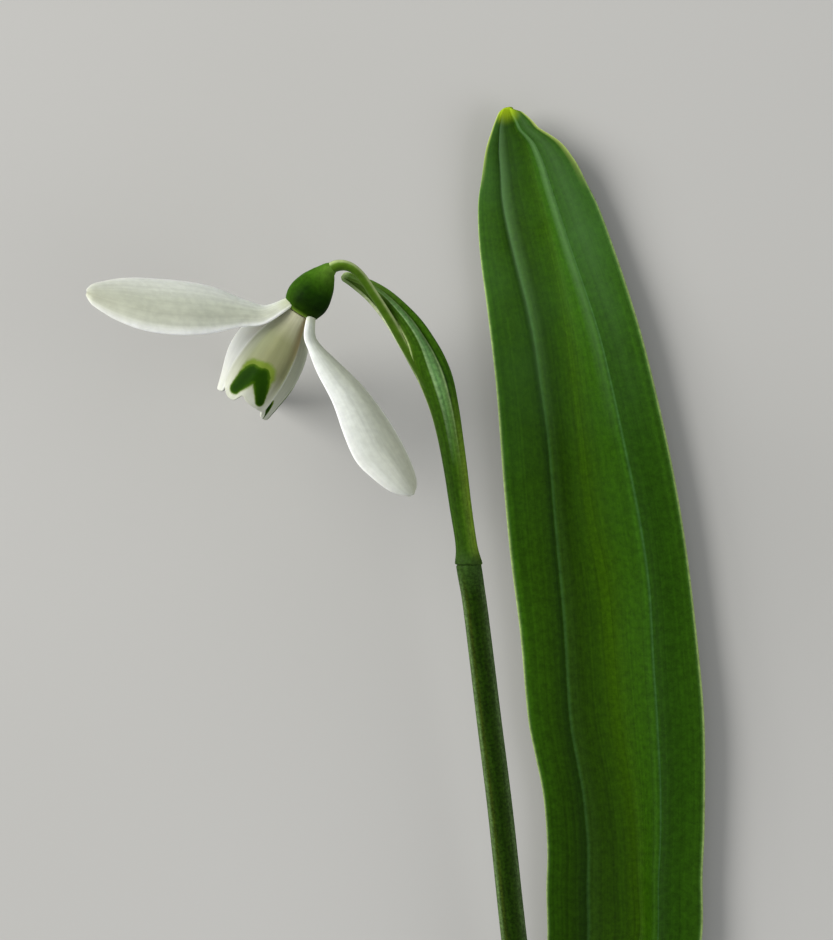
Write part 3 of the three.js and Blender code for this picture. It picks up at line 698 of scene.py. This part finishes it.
def spathe_point(u, v):
    opened = ease(u, 0.405, 0.6)
    ring, folded = ring_section(v), folded_section(v)
    folded_share = folded[0]
    if v >= FOLD_AT:
        folded_share = mix(FOLD_SHARE, membrane_edge(max(u, 0.4))[0], (v - FOLD_AT) / (1 - FOLD_AT))
    share, height = mix(ring[0], folded_share, opened), mix(ring[1], folded[1], opened)
    ribbed = RIB_HEIGHT * bump_at(v, 0.36, 0.06) * ease(u, 0.2, 0.4)
    left, right = Vector(spathe_left(u)), Vector(spathe_right(u))
    closing = math.sqrt(1 - clamp((u - CLOSING_START) / (1 - CLOSING_START)) ** 2 * 0.97)
    share = mix(0.5, share, closing)
    return left.lerp(right, share) + Vector((0, 0, (height + ribbed) * spathe_depth(u)[0] * closing))


spathe = blade(120, 72, spathe_point, even(SPATHE_WALL), crowd=tipwards(1.25))
finish(spathe, "spathe", "spathe", spathe_skin)

# %% [markdown]
# ## Stalk and ovary skins
#
# The pedicel, the flower's own stalk, is a paler and smoother green than the scape. Across it a painted
# highlight runs along one edge and painted shade along the other, and it is painted dark where it leaves the
# spathe, as painted shade under the spathe. The ovary is the darkest part of the plant: a matt bottle-green
# egg with a pale seam where the tepals sit, and fine pores. Its top, where the stalk enters, and one flank
# are painted lighter, and its lower part darker: painted light and painted shade.

# %% Stalk and ovary skins
skin = Recipe("smooth stalk skin")
# a painted highlight along one edge, from 0.84 to 0.95, and painted shade along the other
green = skin.ramp(skin.span(skin.across, -1, 1), [
    (0, "#4c6824"), (0.22, "#3c5a10"), (0.5, "#426010"), (0.68, "#54741e"), (0.84, "#9db070"),
    (0.95, "#b0c084"), (1, "#7d9650"),
])
# darker where the stalk leaves the spathe: painted shade
green = skin.coat(green, skin.along, 0.45, 0.1, 0.7, "#2c4a12")
green = skin.shaded(green, skin.span(skin.noise(skin.spot, 1800, 3), 0.3, 0.7, 0.84, 1.16))
pedicel_skin = skin.finished(green, 0.45, 1.42, 0.1)

skin = Recipe("matt bottle-green ovary skin")
# lighter towards the top, painted light, and darkest low down, painted shade
green = skin.ramp(skin.along, [
    (0, "#7f9046"), (0.03, "#4f6c1c"), (0.08, "#1c3402"), (0.25, "#102502"), (0.5, "#163202"),
    (0.7, "#30530c"), (0.88, "#4c7020"), (1, "#5a7c2c"),
])
# one flank painted lighter: painted light
green = skin.coat(green, skin.across, -0.35, -1, 0.55, "#3f6a10")
pores = skin.noise(skin.spot, 2200, 5, 0.65)
green = skin.shaded(green, skin.span(pores, 0.3, 0.7, 0.76, 1.24))
ovary_skin = skin.finished(green, 0.6, 1.42, 0.04, relief=(pores, 0.3, 0.04))

# %% [markdown]
# ## Pedicel
#
# The pedicel leaves the tube of the spathe, lies in its trough, arches over and widens into the ovary. It is
# a stem along a route that ends a little way inside the ovary, because the two are grown together.

# %% Pedicel
pedicel_path = route([
    (2.6, 5.2, 16.35), (1.85, 6.9, 16.65), (0.8, 8.8, 16.95), (-0.35, 10.8, 17.25), (-1.4, 12.6, 17.6),
    (-2.45, 14.5, 18.1), (-3.65, 16.4, 18.6), (-4.35, 17.45, 18.85), (-4.9, 18.3, 19.05),
    (-5.55, 19.15, 19.25), (-6.3, 19.8, 19.35), (-7.05, 20.07, 19.35), (-7.75, 20.05, 19.3),
    (-8.2, 19.88, 19.25), (-8.5, 19.68, 19.18),
])


def pedicel_radii(u):
    radius = mix(0.46, 0.58, ease(u, 0.86, 0.98))
    return radius, radius


pedicel = stem(pedicel_path, 120, 24, pedicel_radii, cap_inset=0.06)
finish(pedicel, "pedicel", "pedicel", pedicel_skin)

# %% [markdown]
# ## The flower's own frame
#
# The ovary, the inner tepals, the stamens and the style share one axis. It hangs to the left of straight
# down, with its mouth turned a little away from the viewer. In the flower's own frame +Y runs from the base
# of the ovary up to the stalk, the tepals hang along -Y, and an azimuth of 0 faces up from the table.

# %% Flower frame
FLOWER_LEAN, FLOWER_NOD, FLOWER_ROLL = math.radians(-32), math.radians(10), math.radians(-4)
FLOWER_PLACE = (-11.46, 15.56, 18)

flower_turn = (
    Matrix.Rotation(FLOWER_LEAN, 4, "Z") @ Matrix.Rotation(FLOWER_NOD, 4, "X")
    @ Matrix.Rotation(FLOWER_ROLL, 4, "Y")
)
flower_frame = Matrix.Translation(place(FLOWER_PLACE)) @ flower_turn


def in_plant(point):
    """A point of the flower's own frame, in millimetres, in the plant's measures."""
    return flower_turn @ Vector(point) + Vector(FLOWER_PLACE)


print("the flower's axis points to", [round(v, 3) for v in flower_turn @ Vector((0, -1, 0))])

# %% [markdown]
# ## Ovary
#
# The ovary is pear-shaped and a little bent: its flat base carries the tepals, and its narrow top leans over
# to meet the end of the stalk. A turned body would be straight, so it is a stem along a short curved route,
# with radii that give the pear its belly.

# %% Ovary
ovary_path = route([
    (-11.46, 15.56, 18), (-10.86, 16.52, 18.2), (-10.2, 17.5, 18.42), (-9.55, 18.4, 18.68),
    (-9.05, 19.08, 18.93), (-8.65, 19.55, 19.12), (-8.22, 19.86, 19.24),
])
ovary_radius = stations([
    (0, 1.6), (0.02, 1.76), (0.06, 1.86), (0.14, 2.04), (0.25, 2.17), (0.38, 2.13), (0.5, 1.96),
    (0.62, 1.72), (0.74, 1.38), (0.84, 1.05), (0.92, 0.8), (0.97, 0.67), (1, 0.58),
])
ovary = stem(ovary_path, 60, 40, lambda u: ovary_radius(u) * 2, cap_inset=0.06)
finish(ovary, "ovary", "ovary", ovary_skin)

# %% [markdown]
# ## Petal tissue
#
# A snowdrop has no green sepals: its six tepals are all white. The white isn't a pigment. Air between the
# cells scatters the light, as in snow, so a tepal looks soft and a little translucent, and faint lengthwise
# veins are all that breaks it. Subsurface scattering gives that softness. The colour also holds painted
# light and shade: a bright painted rim, a painted shaded middle, and painted shade towards the tip.

# %% Petal tissue
skin = Recipe("white air-filled petal tissue")
# bright rims and a darker middle across the tepal: painted light and painted shade
white = skin.ramp(skin.span(skin.across, -1, 1), [
    (0, "#fbfdf9"), (0.03, "#f4f7f1"), (0.12, "#e9eee6"), (0.35, "#d9ded2"), (0.55, "#c9cebd"),
    (0.75, "#c5c9b7"), (0.88, "#d0d4c4"), (0.955, "#f2f5ed"), (1, "#fbfdf8"),
])
veins = skin.span(skin.streaks((9, 1.6, 1), 3, 0.55), 0.3, 0.7, 0.93, 1.07)
cells = skin.span(skin.noise(skin.spot, 1500, 4), 0.36, 0.64, 0.95, 1.05)
shade = skin.times(veins, cells)
white = skin.shaded(white, shade)
# darker towards the tip: painted shade
white = skin.coat(white, skin.along, 0.45, 1, 0.4, "#b6b69e")
white = skin.coat(white, skin.along, 0.07, 0.01, 0.5, "#c3cc92")
petal_tissue = skin.finished(white, 0.55, 1.4, 0.2, (shade, 0.3, 0.05), (0.25, 0.8, (1, 1, 0.8)))

# %% [markdown]
# ## Outer tepals
#
# The three outer tepals are spoons on narrow claws. Each is a blade along its own middle line. Its foot is
# rooted a little way inside the ovary, side by side with the others, and within its claw it turns until it
# faces its own way. Each station holds a point of the middle line and the half width there. The width closes
# in a half circle at the tip.

# %% Outer tepals
TEPAL_THICKNESS = 0.36
INNER_RING_START = 0.06
OUTER_RING_START = -0.6     # below 0 is inside the ovary
OUTER_RING_RADIUS = 1.2
CLAW_TWIST_END = 0.22
TIP_START = 0.94
RIPPLE_HEIGHT = 0.12

outer_tepals = {
    "outer_tepal_left": {
        "azimuth": -60, "across": (-0.03, -0.68, 0.73), "cup": 0.28, "foot_half_width": 0.78,
        "line": [
            (-14.8, 15.22, 19.5, 1.48), (-17.05, 15.35, 20.2, 2), (-19.9, 15.6, 21, 3.35),
            (-22.7, 15.8, 22, 3.95), (-26.2, 16.1, 23.1, 3.85), (-28.8, 16.55, 23.9, 3.15),
            (-30.8, 16.95, 24.6, 2.1), (-32.15, 17.25, 25.1, 1),
        ],
    },
    "outer_tepal_right": {
        "azimuth": 60, "across": (0.535, 0.27, -0.8), "cup": 0.28, "foot_half_width": 0.5,
        "line": [
            (-10.55, 13.3, 19.7, 0.85), (-10.05, 12, 20.15, 1), (-8.7, 10, 20.95, 1.9),
            (-6.75, 7.35, 22.2, 2.8), (-5.1, 4.35, 23.6, 3.7), (-3.75, 1.85, 24.7, 3.95),
            (-2.45, 0.05, 25.6, 3.35), (-1.25, -1.55, 26.3, 2.2), (-0.5, -2.45, 26.7, 0.7),
        ],
    },
    "outer_tepal_back": {
        "azimuth": 180, "across": (-0.82, 0.56, -0.1), "cup": 0.55, "foot_half_width": 0.6,
        "line": [
            (-12, 14.6, 14.9, 1.2), (-13.3, 12.8, 12, 2), (-14.6, 10.8, 8.4, 2.75),
            (-15.7, 9, 4.6, 2.8), (-16.4, 8, 1.8, 1.9), (-16.7, 7.7, 0.2, 0.6),
        ],
    },
}


def outer_tepal(azimuth, across, cup, foot_half_width, line):
    turn = math.radians(azimuth)
    x, z = math.sin(turn), math.cos(turn)
    foot = in_plant((OUTER_RING_RADIUS * x, -OUTER_RING_START, OUTER_RING_RADIUS * z))
    foot_across = flower_turn @ Vector((z, 0, -x))
    blade_across = Vector(across).normalized()
    at = equal_steps([(*foot, foot_half_width)] + line)

    def point(u, v):
        x, y, z, half_width = at(u)
        ahead = Vector(at(min(u + 0.01, 1))[:3]) - Vector(at(max(u - 0.01, 0))[:3])
        direction = foot_across.lerp(blade_across, ease(u, 0, CLAW_TWIST_END)).normalized()
        outward = ahead.cross(direction).normalized()
        tip = clamp((u - TIP_START) / (1 - TIP_START))
        half_width *= mix(1, math.sqrt(1 - 0.96 * tip * tip), 0.9)
        wander = noise.noise(Vector((v * 2.2, u * 5, azimuth * 0.1)))
        bend = cup * half_width * (1 - v * v) + RIPPLE_HEIGHT * wander * ease(u, 0.2, 0.5)
        return Vector((x, y, z)) + direction * half_width * v + outward * bend

    def thickness(u, v):
        return TEPAL_THICKNESS * (1 - 0.4 * ease(abs(v), 0.6, 1)) * mix(1.35, 1, ease(u, 0, 0.25))

    return blade(72, 32, point, thickness, crowd=tipwards(1.3))


for node, shape in outer_tepals.items():
    finish(outer_tepal(**shape), node, "tepal", petal_tissue)

# %% [markdown]
# ## Inner tepal tissue and its green mark
#
# The inner tepals are half as long, stiffer and notched, and each wears a green mark over its notch: an
# upside-down U whose arms end beside the notch. It isn't painted on but comes from green cells under the
# skin, so its edge is soft, and it fades to yellow-green at the top.
#
# The mark is worked out from its two arms and the bridge between them. Each is a rounded bar in millimetres
# that narrows from its top to its foot: the distance from the bar's middle line, as a share of its half
# width there, is below 1 inside. Each point of the inner tepals carries where it lies from the notch, across
# and up, in the attribute mark, and with it how much painted shade it takes there, a beige-green darkening
# that stays off the rims.

# %% Inner tepal tissue
MARK_ARMS = [               # top, foot, half width at the top, half width at the foot
    ((-0.5, 2.65, 0), (-1.14, 0.3, 0), 1.18, 0.66),
    ((0.55, 2.95, 0), (1.76, 0.4, 0), 1.2, 0.5),
    ((-0.4, 2.65, 0), (0.6, 2.85, 0), 1.2, 1.25),
]

skin = Recipe("inner petal tissue with a green mark")
mark = skin.add("Attribute", attribute_name="mark").node.outputs["Vector"]
# the third value of mark is how much painted shade a point takes
_, mark_up, painted_shade = skin.add("SeparateXYZ", {0: mark}).node.outputs
mark_place = skin.vectors("MULTIPLY", mark, (1, 1, 0))
levels = []
for top, foot, top_half_width, foot_half_width in MARK_ARMS:
    arm = Vector(foot) - Vector(top)
    from_top = skin.vectors("SUBTRACT", mark_place, top)
    reached = skin.vectors("DOT_PRODUCT", from_top, arm / arm.length_squared)
    down_arm = skin.span(reached, 0, 1)
    on_arm = skin.add("VectorMath", {0: arm, "Scale": down_arm}, operation="SCALE")
    distance = skin.vectors("LENGTH", skin.vectors("SUBTRACT", from_top, on_arm))
    half_width = skin.span(down_arm, 0, 1, top_half_width, foot_half_width)
    levels.append(skin.maths("DIVIDE", distance, half_width))
level = skin.maths("MINIMUM", skin.maths("MINIMUM", levels[0], levels[1]), levels[2])
ragged = skin.span(skin.noise(mark_place, 2.2, 3), 0, 1, -0.14, 0.14)
level = skin.maths("ADD", level, ragged)
mark_green = skin.ramp(skin.maths("ADD", level, skin.span(mark_up, 1.8, 4, 0, 0.52)), [
    (0, "#1c3c00"), (0.62, "#224400"), (0.88, "#44660a"), (1, "#7a9034"),
])

veins = skin.streaks((6, 1.4, 1), 3, 0.55)
from_rim = skin.span(skin.maths("ABSOLUTE", skin.across), 1, 0.88)
# a beige-green painted shade, by that share, kept off the rims
white = skin.ramp(skin.times(painted_shade, from_rim), [
    (0, "#f3f5f0"), (0.25, "#d9dccd"), (0.6, "#a9ae88"), (1, "#90926a"),
])
white = skin.coat(white, skin.along, 0.6, 0.95, 0.75, "#dcdfd2")
white = skin.coat(white, skin.along, 0.3, 0.06, 0.6, "#cdcbb2")
# a peach tone near the right margin towards the base
peach_tone = skin.times(skin.span(skin.across, 0.55, 0.88, 0, 0.55), skin.span(skin.along, 0.5, 0.15))
white = skin.tint(white, peach_tone, "#b08e62")
white = skin.shaded(white, skin.span(veins, 0.3, 0.7, 0.92, 1.08))
marked = skin.coat(white, level, 1.22, 0.82, 1, mark_green, interpolation_type="SMOOTHSTEP")
inner_tissue = skin.finished(marked, 0.6, 1.4, 0.08, (veins, 0.35, 0.06), (0.2, 0.5, (1, 1, 0.8)))

# %% [markdown]
# ## Inner tepals
#
# Together the inner tepals make a cup, whose radius is given at each distance below the ovary. At the tip
# each ends in two lobes with a notch between them. The front tepal lies over the margins of its neighbours,
# which are drawn wider and tucked under it, so that no slit shows on the left and only a thin one on the
# right. Each tepal has its middle azimuth, half the angle it spans, its belly half way down, its flare at the
# mouth, which margin is tucked, how far its mark sits from its middle, and how much painted shade its left
# and right parts take. On the right tepal a small wedge of green near the tucked margin stands apart from the
# mark.

# %% Inner tepals
FRONT_TIP = [
    (-1, 9), (-0.9, 9.65), (-0.8, 10.05), (-0.56, 10.5), (-0.3, 10.55), (-0.2, 10.42), (-0.11, 10),
    (-0.05, 9.66), (0, 9.6), (0.06, 9.68), (0.14, 9.84), (0.3, 9.97), (0.56, 10.05), (0.85, 10.1),
    (0.95, 10.05), (1, 9.8),
]
BACK_TIP = [
    (-1, 10.1), (-0.8, 10.75), (-0.5, 10.9), (-0.2, 10.6), (-0.05, 10.22), (0.05, 10.22), (0.2, 10.6),
    (0.5, 10.9), (0.8, 10.75), (1, 10.1),
]

cup_radius = stations([
    (0, 1.38), (0.4, 1.45), (1.2, 1.75), (2, 2.15), (3.5, 2.8), (5, 3.15), (7, 3.3), (9, 3.1), (11.5, 2.7),
])
INNER_THICKNESS = 0.36
TUCK_DEPTH = 0.34
WEDGE_END = -0.58           # the wedge lies outside this share across
WEDGE_SHIFT, WEDGE_SHRINK, WEDGE_GAP = 2.9, 2.6, 9

# each tepal's painted shade at its left and at its right margin
inner_tepals = {
    "inner_tepal_front": {
        "azimuth": -1, "half_angle": 50, "belly": 0, "flare": 0.1, "tuck": 0, "tip": FRONT_TIP,
        "mark_shift": 0, "painted_shade": (0.42, 1),
    },
    "inner_tepal_right": {
        "azimuth": 110, "half_angle": 64, "belly": -0.05, "flare": -0.05, "tuck": -1, "tip": BACK_TIP,
        "mark_shift": 0, "painted_shade": (0.4, 0.15),
    },
    "inner_tepal_left": {
        "azimuth": -116, "half_angle": 62, "belly": 0.85, "flare": -0.12, "tuck": 1, "tip": BACK_TIP,
        "mark_shift": -0.95, "painted_shade": (0.1, 0),
    },
}


def inner_tepal(azimuth, half_angle, belly, flare, tuck, tip, mark_shift, painted_shade):
    turn, reach = math.radians(azimuth), math.radians(half_angle)
    tip_at = stations(tip)
    notch = tip_at(0)[0]

    def radius_at(u, v, down):
        tucked = ease(tuck * v, 0.5, 0.85)
        radius = cup_radius(down)[0] + flare * ease(u, 0.45, 1)
        radius += belly * bump_at(u, 0.42, 0.4) * (1 - tucked)
        if tuck:
            radius -= TUCK_DEPTH * tucked * ease(u, 0.02, 0.25)
        else:
            radius += 0.1 * ease(abs(v), 0.8, 1) * ease(u, 0.1, 0.4)
        return radius + 0.07 * bump_at(v, 0, 0.12) * ease(u, 0.1, 0.5)

    def point(u, v):
        down = mix(INNER_RING_START, tip_at(v)[0], u)
        radius = radius_at(u, v, down)
        angle = turn + v * reach * (1 - 0.12 * ease(u, 0.75, 1) * (tuck != 0))
        return in_plant((radius * math.sin(angle), -down, radius * math.cos(angle)))

    def marks(u, v):
        down = mix(INNER_RING_START, tip_at(v)[0], u)
        radius = radius_at(u, v, down) + 0.2
        # how much painted shade this point takes, from its left margin to its right
        painted_shade_here = mix(*painted_shade, ease(v, -0.9, 0.2))
        from_middle, up = v * reach * radius - mark_shift, notch - down
        if tuck < 0 and v < WEDGE_END:
            from_middle, up = (from_middle + WEDGE_SHIFT) * WEDGE_SHRINK, up * WEDGE_SHRINK
        if tuck < 0:
            up += WEDGE_GAP * bump_at(v, WEDGE_END, 0.08)
        return from_middle, up, painted_shade_here

    def thickness(u, v):
        return INNER_THICKNESS * (1 - 0.35 * ease(abs(v), 0.6, 1))

    return blade(60, 48, point, thickness, marks=marks)


for node, shape in inner_tepals.items():
    finish(inner_tepal(**shape), node, "inner_tepal", inner_tissue)

# %% [markdown]
# ## Stamens and style
#
# Inside the cup six orange-yellow anthers lean together into a cone, on a short column, and the style comes
# out between their tips. They are small turned bodies, gathered into one mesh. Ripe anthers are dusty with
# pollen, and the style is smooth and cream.

# %% Anther and style tissue
skin = Recipe("pollen-dusted anther")
grains = skin.noise(skin.spot, 6000, 2)
dusted = skin.ramp(grains, [(0.3, "#b9761d"), (0.5, "#dc9c36"), (0.7, "#f0c765")])
pollen = skin.finished(dusted, 0.85, relief=(grains, 0.6, 0.05))

skin = Recipe("smooth cream style")
cream = skin.ramp(skin.along, [(0, "#dfe3b8"), (0.7, "#eceed6"), (1, "#d2cf8e")])
style_tissue = skin.finished(cream, 0.5, 1.4)

# %% Stamens and style
COLUMN_LENGTH = 1.1
ANTHER_COUNT = 6
ANTHER_LENGTH, ANTHER_RADIUS = 5.4, 0.42

stamens = turned(
    [(0, -INNER_RING_START), (0.4, -INNER_RING_START), (0.5, -0.8), (0.78, -1.4), (0.8, -1.5), (0, -1.5)],
    32, flower_frame,
)
for i in range(ANTHER_COUNT):
    around = Matrix.Rotation(2 * math.pi * i / ANTHER_COUNT, 4, "Y")
    foot = Matrix.Translation(Vector((0, -INNER_RING_START - COLUMN_LENGTH + 0.15, 0.66)) * MM)
    lean = Matrix.Rotation(math.pi - 0.05, 4, "X")
    anther = turned(
        [(share * ANTHER_RADIUS, height * ANTHER_LENGTH) for share, height in [
            (0, 0), (0.55, 0.005), (0.8, 0.04), (0.95, 0.12), (1, 0.25), (0.97, 0.42), (0.85, 0.6),
            (0.62, 0.8), (0.35, 0.94), (0.16, 0.99), (0, 1),
        ]],
        16, flower_frame @ around @ foot @ lean,
    )
    loose = as_mesh(anther, "anther")
    stamens.from_mesh(loose)
    bpy.data.meshes.remove(loose)
finish(stamens, "stamens", "anther", pollen)

STYLE_TOP = -(INNER_RING_START + COLUMN_LENGTH + 0.3)
style = turned([(radius, STYLE_TOP - height) for radius, height in [
    (0, 0), (0.16, 0), (0.19, 0.2), (0.2, 2), (0.2, 5.6), (0.17, 6.3), (0.1, 6.55), (0, 6.6),
]], 20, flower_frame)
finish(style, "style", "style", style_tissue)

# %% [markdown]
# ## Basal sheath
#
# At the cut end a thin papery sheath wraps the leaf and the scape. It is an open tube with a slanting mouth,
# flat where it lies on the table. A cone without caps gives the tube, whose points are carried to the oval,
# and it gets its wall in the same way as a blade.

# %% Sheath membrane
skin = Recipe("papery sheath membrane")
veins = skin.streaks((9, 0.7, 9), 4, 0.6)
straw = skin.ramp(veins, [(0.28, "#b4ad7c"), (0.45, "#cfcaa2"), (0.6, "#dedbbd"), (0.78, "#e9e7d2")])
straw = skin.coat(straw, skin.along, 0.6, 1, 0.5, "#b9c490")
membrane = skin.finished(straw, 0.6, 1.4, relief=(veins, 0.5, 0.08), glow=(0.2, 0.8, (1, 0.9, 0.6)))

# %% Basal sheath
SHEATH_WALL = 0.5
SHEATH_RINGS = 24
SHEATH_HALF_WIDTH, SHEATH_HALF_HEIGHT, SHEATH_MIDDLE_HEIGHT = 4.75, 2.85, 2.95
SHEATH_LENGTH_BELOW, SHEATH_LENGTH_ABOVE = 11, 6.5

sheath = tube(64, SHEATH_RINGS, cap_ends=False)
lie_layer = sheath.verts.layers.float_vector.new("lie")
for vert in sheath.verts:
    x, up, u = vert.co.x, vert.co.y, vert.co.z + 0.5
    vert[lie_layer] = (x, u, up)
    length = mix(SHEATH_LENGTH_BELOW, SHEATH_LENGTH_ABOVE, (1 + up) / 2)
    length += 0.35 * noise.noise(Vector((x * 2, up * 2, 0.5)))
    fold = 0.12 * noise.noise(Vector((x * 3, up * 3, u * 2)))
    vert.co = place((
        SHEATH_MIDDLE_X + x * (SHEATH_HALF_WIDTH + fold),
        CUT_END_Y + u * length,
        max(SHEATH_MIDDLE_HEIGHT + up * (SHEATH_HALF_HEIGHT + fold), SHEATH_WALL / 2),
    ))
thickened(sheath, even(SHEATH_WALL), sided=False)
finish(sheath, "basal_sheath", "sheath", membrane)

# %% [markdown]
# ## Table and light
#
# The flower lies on a plain pale table. One large soft lamp stands at the upper left, as a window would, a
# weak one fills the shadows from the right, and a dim grey sky lights everything a little.

# %% Table
TABLE_HALF_WIDTH = 1.5      # metres
TABLE_DROP = 0.02           # millimetres, so that no face of the flower lies in the table's own plane

skin = Recipe("plain matt table")
pale = skin.ramp(skin.noise(skin.spot, 9, 2), [(0.3, "#bcbbb7"), (0.7, "#c1c0bd")])
table_top = skin.finished(pale, 0.9)

table = bmesh.new()
bmesh.ops.create_grid(table, x_segments=4, y_segments=4, size=TABLE_HALF_WIDTH)
bmesh.ops.translate(table, verts=table.verts, vec=(0, 0, -TABLE_DROP * MM))
table_mesh = as_mesh(table, "table")
table_mesh.materials.append(table_top)
table_object = shown("table", table_mesh)

# %% Lights
def lamp(name, spot, aim, size, power, tint):
    """A round soft lamp of a size in metres and a power in watts."""
    data = bpy.data.lights.new(name, "AREA")
    data.shape = "DISK"
    data.size, data.energy, data.color = size, power, tint
    lamp_object = shown(name, data)
    lamp_object.location = spot
    lamp_object.rotation_euler = (Vector(aim) - Vector(spot)).to_track_quat("-Z", "Y").to_euler()


lamp("key", (-0.64, 0.3, 0.45), (0, 0.03, 0), 0.6, 8, (1, 0.99, 0.97))
lamp("fill", (0.5, -0.1, 0.45), (0, 0, 0), 0.6, 1.2, (0.97, 0.99, 1))

sky = bpy.data.worlds.new("sky")
sky.use_nodes = True
background = sky.node_tree.nodes["Background"].inputs
background["Color"].default_value = colour("#eef0f2")
background["Strength"].default_value = 0.35
scene.world = sky
scene.view_settings.view_transform = "Standard"
print("lamps:", [lamp_data.name for lamp_data in bpy.data.lights])

# %% [markdown]
# ## Camera
#
# The camera looks straight down. It stands a metre above the table with a long lens, so the flower is seen
# almost without perspective. The picture is 94 mm high at the table.

# %% Camera
CAMERA_HEIGHT = 1.0
PICTURE_HEIGHT = 0.094
SENSOR_WIDTH = 36

lens = bpy.data.cameras.new("camera")
lens.sensor_width = SENSOR_WIDTH
lens.lens = SENSOR_WIDTH * CAMERA_HEIGHT / PICTURE_HEIGHT
lens.clip_start, lens.clip_end = 0.01, 10
camera = shown("camera", lens)
camera.location = place((0, 0, 0)) + Vector((0, 0, CAMERA_HEIGHT))
scene.camera = camera
print("the camera's focal length is", round(lens.lens), "mm")
